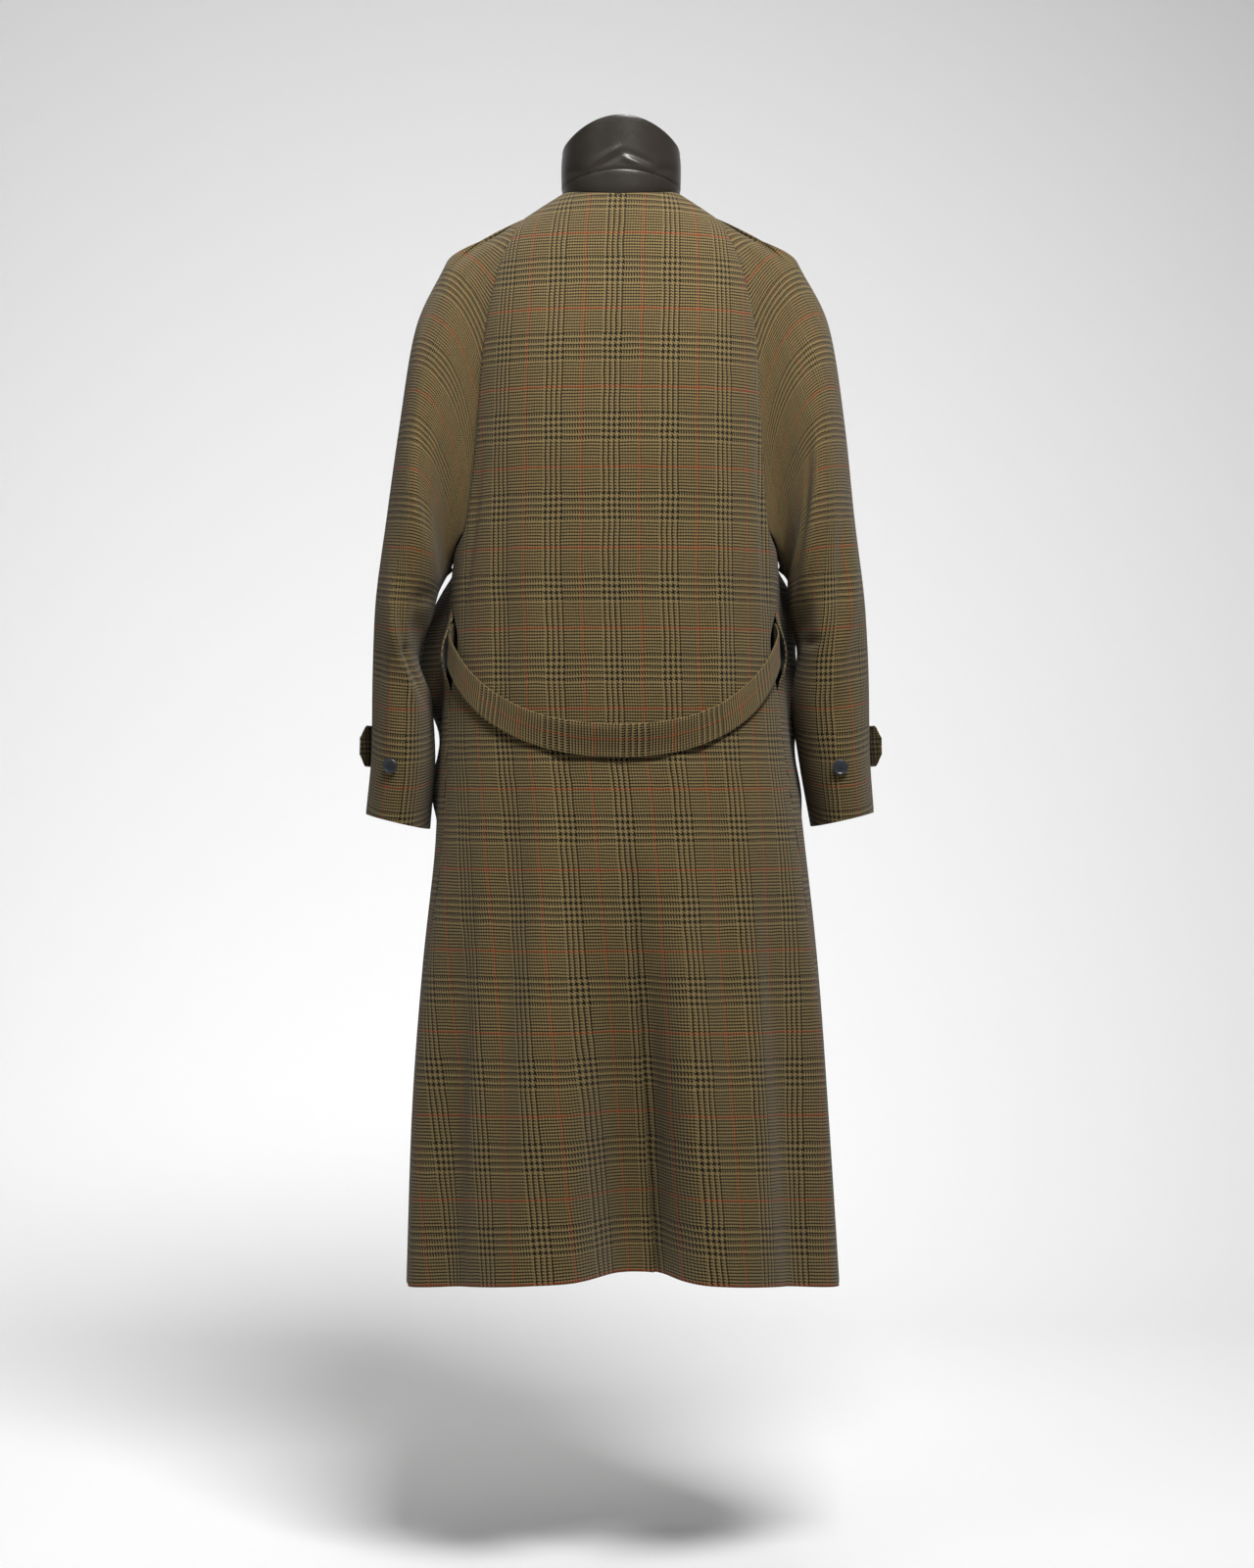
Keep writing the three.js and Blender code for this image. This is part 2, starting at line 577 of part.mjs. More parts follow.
// The fall starts on the stand, and on the neck seam itself past the stand's ends.
function collarFall() {
  const columns = [...spread(-COLLAR_END_ANGLE, -STAND_END_ANGLE - 1, 8),
    ...spread(-STAND_END_ANGLE, STAND_END_ANGLE, 22), ...spread(STAND_END_ANGLE + 1, COLLAR_END_ANGLE, 8)];
  const bottom = (angle) => {
    const onStand = Math.abs(angle) <= STAND_END_ANGLE + 1;
    return onStand ? standShare(angle) + SEAM_GAP / COLLAR_HEIGHT : 0;
  };
  const shareAt = (angle, v) => mix(bottom(angle), 1, v);
  return wallGeometry(columns, [0, 0.25, 0.5, 0.75, 1],
    (angle, v) => collarPoint(angle, shareAt(angle, v)),
    (angle, v) => collarNormal(angle, shareAt(angle, v)), LEATHER);
}

// The belt lies on the back, slack, and goes in through the side slits under the front panels.

function beltLine(angle) {
  const slitRing = ringAtHeight(SLIT_MIDDLE);
  const seam = smooth(BODY_RINGS, 'seamBack', slitRing);
  const share = Math.abs(angle) / seam;
  const z = BELT_MIDDLE_Z + (BELT_SIDE_Z - BELT_MIDDLE_Z) * Math.min(1.06, share) ** BELT_SAG_POWER;
  const past = ease((Math.abs(angle) - seam + BELT_TURN_BEFORE) / BELT_TURN);
  const inside = -WALL - 2 * SEAM_GAP;
  const lean = BELT_LEAN * (1 - ease(share * 1.6));
  return { z, out: mix(BELT_CLEARANCE + BELT_THICK, inside, past), lean };
}

function beltPoint(angle, across) {
  const line = beltLine(angle);
  const z = line.z + across * BELT_WIDTH / 2;
  const ring = ringAtHeight(z);
  const lean = line.lean * ease((across + 1) / 2);
  return bodyPoint(angle, ring, line.out + lean);
}

function belt() {
  const slitRing = ringAtHeight(SLIT_MIDDLE);
  const end = smooth(BODY_RINGS, 'seamBack', slitRing) + BELT_INSIDE_ANGLE;
  const near = spread(end - 22, end, 9);
  const angles = [...near.map((a) => -a).reverse(), ...spread(-end + 22, end - 22, 20).slice(1, -1), ...near];
  return wallGeometry(angles, [1, 0, -1], beltPoint,
    (angle, across) => normalOf(beltPoint, angle, Math.min(0.9, Math.max(-0.9, across)), 0.3, 0.05).negate(),
    BELT_THICK);
}

// Cuff tabs. Each lies on the front of its sleeve and its pointed end stands off past the outer edge.

const TAB_COLUMNS = ['name', 'angle', 'out'];
const TAB_LINE = table(TAB_COLUMNS, [
  ['sewn_end', -104, 0],
  ['front', -80, 0],
  ['front_corner', -58, 0],
  ['button', -38, 0.4],
  ['lifting', -18, 5],
  ['tip', -8, 13],
]);

function tabPoint(rows, side, along, across) {
  const ring = TAB_RING + across * TAB_WIDTH / 2 / RING_LENGTH;
  const angle = smooth(TAB_LINE, 'angle', along);
  const out = smooth(TAB_LINE, 'out', along) + TAB_LIFT + TAB_THICK;
  return armPoint(rows, side, angle, ring).addScaledVector(armNormal(rows, side, angle, ring), out);
}

function armNormal(rows, side, angle, ring) {
  const pointAt = (a, b) => armPoint(rows, side, a, b);
  return normalOf(pointAt, angle, ring, 0.5, 0.02).multiplyScalar(-side);
}

function cuffTab(rows, side) {
  const last = TAB_LINE.length - 1;
  const alongs = spread(0, last, 12);
  const shrink = (along) => {
    const pointed = ease((along - (last - 0.75)) / 0.75);
    return mix(1, TAB_TIP_SHARE, pointed);
  };
  const pointAt = (along, across) => tabPoint(rows, side, along, across * shrink(along));
  return wallGeometry(alongs, [-1, -0.33, 0.33, 1], pointAt,
    (along, across) => {
      const u = Math.min(last - 0.02, Math.max(0.02, along));
      return normalOf(pointAt, u, Math.min(0.95, Math.max(-0.95, across)), 0.02, 0.05).multiplyScalar(-side);
    }, TAB_THICK);
}

// Buttons

function buttonGeometry() {
  const top = SHANK_HEIGHT + BUTTON_THICK;
  const profile = [
    [0, 0], [SHANK_RADIUS, 0], [SHANK_RADIUS, SHANK_HEIGHT], [BUTTON_RADIUS, SHANK_HEIGHT + 1],
    [BUTTON_RADIUS - BUTTON_RIM / 2, top], [BUTTON_RADIUS - BUTTON_RIM * 2, top - BUTTON_DISH], [0, top - BUTTON_DISH],
  ].map(([radius, height]) => new THREE.Vector2(radius, height));
  return new THREE.LatheGeometry(profile, 14);
}

function addButton(name, seat, outward) {
  const mesh = addMesh(name, buttonGeometry(), HORN_COLOUR, 0.35);
  mesh.position.copy(seat.clone().addScaledVector(outward, BUTTON_SEAT));
  mesh.quaternion.setFromUnitVectors(new THREE.Vector3(0, 1, 0), outward);
}

// Assembly

addMesh('back_left', leftBackPanel(), TWEED_BACK, 0.9);
addMesh('back_right', rightBackPanel(), TWEED_BACK, 0.9);
addMesh('front_left', frontPanel(1), TWEED_FRONT, 0.9);
addMesh('front_right', frontPanel(-1), TWEED_FRONT, 0.9);
for (const [word, rows, side] of [['left', LEFT_SLEEVE, 1], ['right', RIGHT_SLEEVE, -1]]) {
  addMesh(`sleeve_back_${word}`, sleevePanel(rows, side, 1), TWEED_SLEEVE, 0.9);
  addMesh(`sleeve_front_${word}`, sleevePanel(rows, side, -1), TWEED_SLEEVE, 0.9);
  addMesh(`cuff_tab_${word}`, cuffTab(rows, side), TWEED_SLEEVE, 0.9);
  const angle = CUFF_BUTTON_ANGLE[word];
  addButton(`cuff_button_${word}`, armPoint(rows, side, angle, CUFF_BUTTON_RING),
    armNormal(rows, side, angle, CUFF_BUTTON_RING));
  const onTab = rowOf(TAB_LINE, 'button');
  addButton(`tab_button_${word}`, tabPoint(rows, side, onTab, 0),
    armNormal(rows, side, TAB_LINE[onTab].angle, TAB_RING));
}
addMesh('collar_stand', collarStand(), LEATHER_COLOUR, 0.4);
addMesh('collar_fall', collarFall(), LEATHER_COLOUR, 0.4);
addMesh('belt', belt(), TWEED_SLEEVE, 0.9);
FRONT_BUTTON_HEIGHTS.forEach((height, i) => {
  const ring = ringAtHeight(height);
  addButton(`front_button_${i + 1}`, bodyPoint(180, ring), bodyNormal(180, ring));
});

export default model;
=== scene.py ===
import json
import math

import bpy
import numpy as np
from mathutils import Matrix, Vector

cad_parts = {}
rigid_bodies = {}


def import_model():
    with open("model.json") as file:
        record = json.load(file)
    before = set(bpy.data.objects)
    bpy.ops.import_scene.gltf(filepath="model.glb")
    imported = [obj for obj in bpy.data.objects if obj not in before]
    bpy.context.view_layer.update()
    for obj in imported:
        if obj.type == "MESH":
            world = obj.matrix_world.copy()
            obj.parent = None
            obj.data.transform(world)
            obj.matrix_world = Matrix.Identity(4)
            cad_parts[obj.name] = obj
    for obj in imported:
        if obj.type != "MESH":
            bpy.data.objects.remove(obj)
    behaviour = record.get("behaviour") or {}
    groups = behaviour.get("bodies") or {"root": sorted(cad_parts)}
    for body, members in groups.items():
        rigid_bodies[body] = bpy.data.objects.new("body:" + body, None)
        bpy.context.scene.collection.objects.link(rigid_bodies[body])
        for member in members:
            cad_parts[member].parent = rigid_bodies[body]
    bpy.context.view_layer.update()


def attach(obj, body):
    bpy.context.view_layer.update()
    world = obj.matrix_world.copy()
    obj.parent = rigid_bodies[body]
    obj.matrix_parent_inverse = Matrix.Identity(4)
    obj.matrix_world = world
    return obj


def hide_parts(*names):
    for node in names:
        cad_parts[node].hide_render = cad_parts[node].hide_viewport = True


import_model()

# A balmacaan coat: every piece of cloth is a fine shell on the form of its solid.
# The tables are in millimetres, as the coat was drafted; MM turns them into metres.
MM = 0.001
METRE = 1000

WALL = 2.0
BELT_WALL = 2.4
TAB_WALL = 2.2
LEATHER_WALL = 1.7
SOLID_WALL = 2.4
SEAM_GAP = 0.02
LAYER_STEP = 6
VENT_TOP = -800
VENT_LAP = 42
FRONT_LAP = 26
SLIT_MIDDLE = -520
SLIT_HEIGHT = 98
SLIT_GAP = 22
SLIT_LIFT = 14.5
BELT_WIDTH = 38
BELT_THICK = 3
BELT_MIDDLE_Z = -620
BELT_SIDE_Z = -517
BELT_SAG_POWER = 1.8
BELT_CLEARANCE = 4.5
BELT_INSIDE_ANGLE = 15.5
BELT_TURN_BEFORE = 0.9
BELT_TURN = 8.5
BELT_LEAN = 14
STAND_HEIGHT = 26
STAND_END_HEIGHT = 2
STAND_END_ANGLE = 96
COLLAR_END_ANGLE = 171
COLLAR_BULGE = 2
COLLAR_SEAT = 0.8
TAB_WIDTH = 50
TAB_TIP_SHARE = 0.45
TAB_THICK = 3
TAB_LIFT = 0.95
TAB_RING = 5.95
RING_LENGTH = 78
CUFF_BUTTON_RING = 6.2
CUFF_BUTTON_ANGLE = {"left": 79, "right": 90}
FRONT_BUTTON_HEIGHTS = (-150, -300, -450, -600)
OVERARM_ANGLE = 24
OVERARM_NECK_ANGLE = 115
NECK_SHARE = 0.08
SEAM_SPREAD = 0.35
UNDERARM_GAP = 0.02
ARRIVE_SHARE = 0.6


def table(columns, rows):
    """One array for each named column."""
    return {name: np.array([row[i] for row in rows.values()], float)
            for i, name in enumerate(columns.split())}


BODY_ROWS = {
    "neck": (0, 9, -85, 68, 68, 62, 0, -70, 2.0, 104, 128, 3, 26, 20),
    "yoke": (-24, -12, -108, 101, 100, 78, 0, -86, 2.0, 90, 125, 4, 30, 8),
    "shoulder": (-66, -40, -148, 139, 137, 98, 0, -102, 2.1, 64, 122, 5, 42, -10),
    "high_blade": (-122, -86, -196, 163, 161, 117, 0, -119, 2.2, 60.5, 119, 5, 60, -35),
    "blade": (-196, -162, -250, 174, 172, 133, 0, -132, 2.4, 62, 117, 5, 82, -65),
    "chest": (-300, -285, -320, 181, 176, 141, 0, -140, 2.5, 64, 115, 5, 115, -105),
    "armhole": (-385, -376, -388, 189, 179, 141, 0, -141, 2.5, 68, 112, 5, 147, -142),
    "underarm": (-430, -424, -428, 194, 181, 141, 0, -141, 2.5, 89, 89, 5, 180, -180),
    "high_waist": (-510, -506, -508, 200, 183, 141, 0, -142, 2.4, 69, 69, 4, 180, -180),
    "waist": (-610, -608, -608, 206, 191, 144, 0, -146, 2.4, 72, 72, 2, 180, -180),
    "hip": (-730, -730, -728, 213, 210, 156, 0, -155, 2.3, 70, 70, -4, 180, -180),
    "thigh": (-880, -884, -876, 229, 227, 172, 0, -166, 2.2, 72, 72, -15, 180, -180),
    "knee": (-1040, -1052, -1040, 241, 239, 186, 0, -177, 2.2, 78, 78, -28, 180, -180),
    "hem": (-1214, -1239, -1230, 247, 251, 202, 0, -188, 2.2, 85, 85, -42, 180, -180),
}
BODY = table("z_back z_side z_front half_left half_right y_back y_side y_front square"
             " seam_back seam_front centre arm_back arm_front", BODY_ROWS)
RING = {name: i for i, name in enumerate(BODY_ROWS)}
HEM = RING["hem"]
UNDERARM = RING["underarm"]

# Large folds: angle_top, angle_hem, z_top, z_full, width_left, width_right, power, depth.
# Each starts at z_top and is at its full depth at z_full. Angles run from the centre back,
# positive to the left.
BODY_FOLDS = {
    "vent_valley": (-2, -6, -740, -1225, 13, 9, 3.6, -88),
    "left_bulge": (20, 26, -760, -1225, 12, 12, 2, 12),
    "right_bulge": (-22, -25, -760, -1225, 9, 13, 2, 15),
    "left_hollow": (44, 50, -700, -1100, 9, 9, 2, -13),
    "right_hollow": (-46, -52, -700, -1100, 9, 9, 2, -15),
    "left_side_ridge": (62, 66, -640, -1000, 8, 8, 2, 9),
    "right_side_ridge": (-62, -68, -640, -1000, 8, 8, 2, 9),
    "left_front_fold": (128, 124, -560, -1150, 11, 11, 2, -17),
    "right_front_fold": (-126, -122, -600, -1150, 11, 11, 2, -15),
    "left_front_bulge": (150, 148, -620, -1150, 12, 12, 2, 10),
    "right_front_bulge": (-148, -146, -620, -1150, 12, 12, 2, 10),
}

# Where the fronts swell out behind the sleeves: angle, width, z, height, depth.
BODY_SWELLS = {
    "left_slit": (120, 16, -486, 58, 52),
    "left_below_slit": (122, 17, -560, 56, 54),
    "left_hanging": (119, 17, -680, 50, 32),
    "left_armpit": (125, 13, -436, 26, 11),
    "left_cuff": (122, 14, -645, 34, 8),
    "right_slit": (-119, 16, -474, 52, 42),
    "right_below_slit": (-119, 18, -575, 62, 40),
    "right_hanging": (-118, 18, -680, 50, 23),
    "right_armpit": (-123, 13, -436, 26, 10),
    "right_elbow": (-121, 13, -532, 30, 8),
}

SLEEVE_COLUMNS = "outer_x outer_z inner_x inner_z y_middle half_depth square"
SLEEVES = {
    "left": table(SLEEVE_COLUMNS, {
        "shoulder": (201, -70, 201, -431, 4, 78, 2.0),
        "cap": (236, -146, 205, -438, 4, 88, 2.0),
        "upper_arm": (255, -262, 210, -448, 7, 93, 2.0),
        "above_elbow": (269, -362, 220, -484, 4, 88, 2.1),
        "elbow": (283, -470, 234, -525, -2, 84, 2.3),
        "below_elbow": (287, -552, 220, -572, -12, 83, 2.2),
        "forearm": (289, -630, 216, -638, -23, 83, 2.1),
        "cuff": (297, -704, 223, -722, -40, 82, 2.1),
    }),
    "right": table(SLEEVE_COLUMNS, {
        "shoulder": (203, -70, 188, -430, 4, 78, 2.0),
        "cap": (239, -144, 192, -437, 4, 88, 2.0),
        "upper_arm": (257, -258, 192, -447, 7, 93, 2.0),
        "above_elbow": (268, -362, 194, -478, 4, 89, 2.1),
        "elbow": (281, -470, 203, -520, -2, 85, 2.3),
        "below_elbow": (286, -552, 197, -574, -12, 83, 2.2),
        "forearm": (288, -630, 206, -640, -23, 82, 2.1),
        "cuff": (294, -702, 221, -719, -40, 81, 2.1),
    }),
}
CUFF = 7
SIDE = {"left": 1, "right": -1}

# angle, width, ring, length, depth; the angle is 0 outside, 90 at the back and 180 inside.
SLEEVE_FOLDS = {
    "armpit_pouch": (125, 32, 2.0, 0.9, 8),
    "pouch_crease": (140, 22, 3.4, 0.4, -7),
    "elbow_ridge": (105, 26, 3.9, 0.5, 6),
    "elbow_trough": (62, 22, 4.5, 0.6, -6),
    "front_crease": (-120, 26, 4.0, 0.5, -7),
}

COLLAR = table("z_back z_side z_front half y_back y_front", {
    "seam": (0, 9, -85, 68, 62, -70),
    "middle": (44, 37, -42, 67, 66, -84),
    "top": (87, 61, 2, 67, 73, -96),
})
COLLAR_HEIGHT = 87

TAB_LINE = table("angle out", {
    "sewn_end": (-104, 0),
    "front": (-80, 0),
    "front_corner": (-58, 0),
    "button": (-38, 0.4),
    "lifting": (-18, 5),
    "tip": (-8, 13),
})
TAB_BUTTON = 3

# Finer creases, each along a straight line on the cloth.
# Body: angle and height of both ends, half width and depth in millimetres, negative for a furrow.
BODY_CREASES = {
    "left_blade_furrow": (41, -330, 36, -640, 16, -3.2),
    "left_blade_ridge": (27, -360, 23, -660, 17, 2.6),
    "left_inner_furrow": (16, -420, 14, -680, 13, -2.4),
    "right_inner_ridge": (-15, -420, -14, -700, 14, 2.2),
    "right_blade_furrow": (-24, -360, -23, -690, 13, -3.0),
    "right_outer_ridge": (-34, -330, -33, -640, 15, 2.4),
    "right_armpit_furrow": (-58, -270, -62, -470, 11, -3.4),
    "left_armpit_furrow": (57, -300, 60, -480, 11, -3.2),
    "under_belt_left": (13, -640, 11, -1000, 14, -5.0),
    "under_belt_light": (21, -650, 20, -1100, 16, 4.0),
    "left_skirt_furrow": (33, -650, 29, -1190, 17, -6.4),
    "left_skirt_ridge": (45, -700, 40, -1190, 17, 4.2),
    "right_skirt_ridge": (-15, -650, -17, -1150, 14, 4.4),
    "right_skirt_furrow": (-29, -680, -27, -1190, 15, -6.0),
    "right_skirt_swell": (-40, -700, -38, -1190, 18, 4.0),
    "left_front_drape": (140, -560, 138, -1150, 16, -4),
    "right_front_drape": (-158, -540, -160, -1150, 16, -4),
}
# Sleeve: angle and ring of both ends, half width and depth.
SLEEVE_CREASES = {
    "left": {
        "inner_furrow": (92, 3.2, 150, 5.1, 13, -6),
        "inner_ridge": (78, 3.4, 128, 5.4, 13, 3.5),
        "elbow_nick": (150, 2.5, 112, 3.3, 9, -4.5),
        "elbow_tuck": (142, 3.9, 96, 4.4, 9, -4),
        "outer_slack": (38, 3.6, 52, 5.9, 18, -3),
        "cap_drag": (70, 0.6, 118, 1.9, 14, -3.5),
        "front_tuck": (-60, 3.4, -130, 4.6, 12, -5),
        "front_slack": (-50, 4.7, -90, 6.4, 14, -3.5),
    },
    "right": {
        "outer_furrow": (55, 2.8, 104, 4.5, 13, -6.5),
        "outer_ridge": (36, 3.1, 84, 4.9, 13, 3.5),
        "armpit_fold": (100, 0.9, 142, 2.5, 11, -7),
        "armpit_roll": (84, 1.0, 122, 2.7, 12, 4),
        "elbow_tuck": (150, 3.8, 108, 4.1, 9, -4.5),
        "wrist_slack": (75, 5.0, 120, 6.2, 14, -3.5),
        "front_tuck": (-60, 3.6, -130, 4.8, 12, -5),
        "front_slack": (-50, 4.9, -95, 6.4, 14, -3.5),
    },
}


# Millimetres of cloth in one degree or one ring, for the widths of the creases.
BODY_DEGREE = 3.4
SLEEVE_DEGREE = 1.1
SLEEVE_RING = 88
COLLAR_DEGREE = 1.15


# Curves and small helpers

def mix(a, b, share):
    return a + (b - a) * share


def ease(value):
    s = np.clip(value, 0, 1)
    return s * s * (3 - 2 * s)


def either(rows, first, second, place, in_first):
    """A smooth curve through one column where in_first holds, and through another elsewhere."""
    return np.where(in_first, smooth(rows, first, place), smooth(rows, second, place))


def curve_between(start, end, leave, arrive, s):
    """A cubic from start to end that leaves and arrives with the given slopes."""
    s2, s3 = s * s, s * s * s
    return (start * (2 * s3 - 3 * s2 + 1) + end * (3 * s2 - 2 * s3)
            + leave * (s3 - 2 * s2 + s) + arrive * (s3 - s2))


def smooth(rows, column, place):
    """A smooth curve through one column that never overshoots its rows."""
    values = rows[column]
    last = len(values) - 1
    step = np.diff(values)
    slope = np.zeros(last + 1)
    slope[0], slope[-1] = step[0], step[-1]
    before, after = step[:-1], step[1:]
    rising = before * after > 0
    slope[1:-1][rising] = 2 * before[rising] * after[rising] / (before[rising] + after[rising])
    place = np.asarray(place, float)
    i = np.clip(np.floor(place).astype(int), 0, last - 1)
    return curve_between(values[i], values[i + 1], slope[i], slope[i + 1], place - i)


def round_power(value, square):
    return np.sign(value) * np.abs(value) ** (2 / square)


def unit(vectors):
    return vectors / np.maximum(np.linalg.norm(vectors, axis=-1, keepdims=True), 1e-12)


def dot(a, b):
    return (a * b).sum(axis=-1, keepdims=True)


def spread_out(*values):
    """The given arrays, each written out in the shape that they share."""
    return [np.array(value) for value in np.broadcast_arrays(*values)]


def points(x, y, z):
    return np.stack(np.broadcast_arrays(x, y, z), axis=-1)


def normal_of(point_at, u, v, step_u, step_v):
    a = point_at(u + step_u, v) - point_at(u - step_u, v)
    b = point_at(u, v + step_v) - point_at(u, v - step_v)
    return unit(np.cross(a, b))


def crease_depth(creases, across, down, across_mm, down_mm):
    """Depth of the listed creases at a place of the cloth."""
    depth = 0.0
    for start_a, start_d, end_a, end_d, width, height in creases.values():
        line = np.array([(end_a - start_a) * across_mm, (end_d - start_d) * down_mm])
        offset_a = (across - start_a) * across_mm
        offset_d = (down - start_d) * down_mm
        along = np.clip((offset_a * line[0] + offset_d * line[1]) / (line @ line), 0, 1)
        away = np.hypot(offset_a - along * line[0], offset_d - along * line[1])
        depth = depth + height * np.sin(np.pi * mix(0.06, 0.94, along)) ** 0.7 * np.exp(-(away / width) ** 2)
    return depth


# The body

def fold_depth(angle, z):
    depth = 0.0
    for angle_top, angle_hem, z_top, z_full, width_left, width_right, power, height in BODY_FOLDS.values():
        grown = ease((z_top - z) / (z_top - z_full))
        away = angle - mix(angle_top, angle_hem, grown)
        width = np.where(away > 0, width_left, width_right)
        depth = depth + height * grown * np.exp(-np.abs(away / width) ** power)
    for swell_angle, width, swell_z, height, out in BODY_SWELLS.values():
        depth = depth + out * np.exp(-((angle - swell_angle) / width) ** 2 - ((z - swell_z) / height) ** 2)
    return depth


def body_point(angle, ring, out=0.0, folds=1.0):
    turn = np.radians(angle)
    across, along = np.sin(turn), np.cos(turn)
    square = smooth(BODY, "square", ring)
    half = either(BODY, "half_left", "half_right", ring, across >= 0)
    y_side = smooth(BODY, "y_side", ring)
    y_end = either(BODY, "y_back", "y_front", ring, along >= 0)
    z_side = smooth(BODY, "z_side", ring)
    z_end = either(BODY, "z_back", "z_front", ring, along >= 0)
    z = z_side + (z_end - z_side) * along * along
    moved = fold_depth(angle, z) * folds + out
    x = half * round_power(across, square)
    y = y_side + (y_end - y_side) * np.abs(round_power(along, square))
    return points(x + moved * across, y + moved * along, z)


def body_normal(angle, ring):
    return normal_of(body_point, angle, np.clip(ring, 0.01, HEM - 0.01), 0.2, 0.01)


DENSE = np.linspace(0, HEM, 4000)
SIDE_HEIGHTS = smooth(BODY, "z_side", DENSE)


def ring_at_height(z):
    return np.interp(-np.asarray(z, float), -SIDE_HEIGHTS, DENSE)


def angle_of(length, ring):
    return np.degrees(length / smooth(BODY, "half_left", ring))


def centre_angle(ring):
    return angle_of(smooth(BODY, "centre", ring), ring)


def side_slit(ring):
    z = smooth(BODY, "z_side", ring)
    return np.sin(np.pi * np.clip((z - SLIT_MIDDLE) / SLIT_HEIGHT + 0.5, 0, 1)) ** 1.5


def seam_angle(column, ring, side):
    away = -1 if column == "seam_back" else 1
    gap = SLIT_GAP / 2 * side_slit(ring)
    line = np.where(ring > UNDERARM, smooth(BODY, "seam_back", ring), smooth(BODY, column, ring))
    return side * (line + away * angle_of(gap, ring))


def panel_angle(start, column, ring, side, share):
    seam = seam_angle(column, ring, side)
    high, low = RING["chest"], RING["waist"]
    between = (ring > high) & (ring < low)
    ends = mix(seam_angle(column, np.float64(high), side), seam_angle("seam_back", np.float64(low), side),
               (ring - high) / (low - high))
    guide = np.where(between, ends, seam)
    return mix(start, guide, share) + (seam - guide) * share ** 4


VENT_RING = ring_at_height(VENT_TOP)
EDGE_STEPS = np.array([0, 0.4, 1.0, 1.8, 2.9, 4.3, 6.2])


def edged(count, length, start=True, end=True):
    """Shares from 0 to 1, closer together beside a sewn or folded edge."""
    steps = EDGE_STEPS / length
    low = steps if start else steps[:1]
    high = 1 - (steps if end else steps[:1])[::-1]
    middle = np.linspace(low[-1], high[0], count + 1)[1:-1]
    return np.concatenate([low, middle, high])


def body_rows(count):
    top, bottom = BODY["z_side"][0], BODY["z_side"][-1]
    return ring_at_height(mix(top, bottom, edged(count, top - bottom)))[:, None]


def seam_groove(distance, depth, width):
    """How far the cloth turns in beside a seam."""
    return -depth * np.exp(-np.maximum(distance, 0) / width)


def grid_normals(grid, middle=(0, 0)):
    """Normals of a grid of points, pointing away from an upright line through the middle."""
    normals = unit(np.cross(np.gradient(grid, axis=1), np.gradient(grid, axis=0)))
    away = ((grid[..., :2] - middle) * normals[..., :2]).sum()
    return normals if away > 0 else -normals


def run_along(grid, axis):
    """Length of cloth from the grid's first line to each of its points."""
    steps = np.linalg.norm(np.diff(grid, axis=axis), axis=-1)
    start = np.zeros_like(np.take(steps, [0], axis=axis))
    return np.concatenate([start, np.cumsum(steps, axis=axis)], axis=axis)


SHOULDER_SLOPE = 1.35


def body_down(ring, z, end_column, slope):
    """Cloth length down the middle of the panel. Level at the shoulders, along the hem lower down."""
    heights = smooth(BODY, end_column, DENSE)
    depths = np.abs(smooth(BODY, end_column.replace("z", "y"), DENSE))
    lengths = np.concatenate([[0], np.cumsum(np.hypot(np.diff(heights), np.diff(depths) * slope))])
    level = mix(z, smooth(BODY, end_column, ring), ease((-z - 450) / 700))
    above = np.maximum(0, level - heights[0])
    return np.interp(-level, -heights, lengths) - above * SHOULDER_SLOPE


# Materials

def as_node(operation, swapped=False):
    """An operator of Wired that adds one Math node."""
    def wired(self, *others):
        values = (*others, self) if swapped else (self, *others)
        return self.finish.math(operation, *values)
    return wired


class Wired:
    """A shader socket on which Python's operators add Math nodes."""

    def __init__(self, finish, socket):
        self.finish = finish
        self.socket = socket

    __add__ = __radd__ = as_node("ADD")
    __mul__ = __rmul__ = as_node("MULTIPLY")
    __sub__ = as_node("SUBTRACT")
    __rsub__ = as_node("SUBTRACT", swapped=True)
    __truediv__ = as_node("DIVIDE")
    __lt__ = as_node("LESS_THAN")
    __gt__ = as_node("GREATER_THAN")
    __abs__ = as_node("ABSOLUTE")


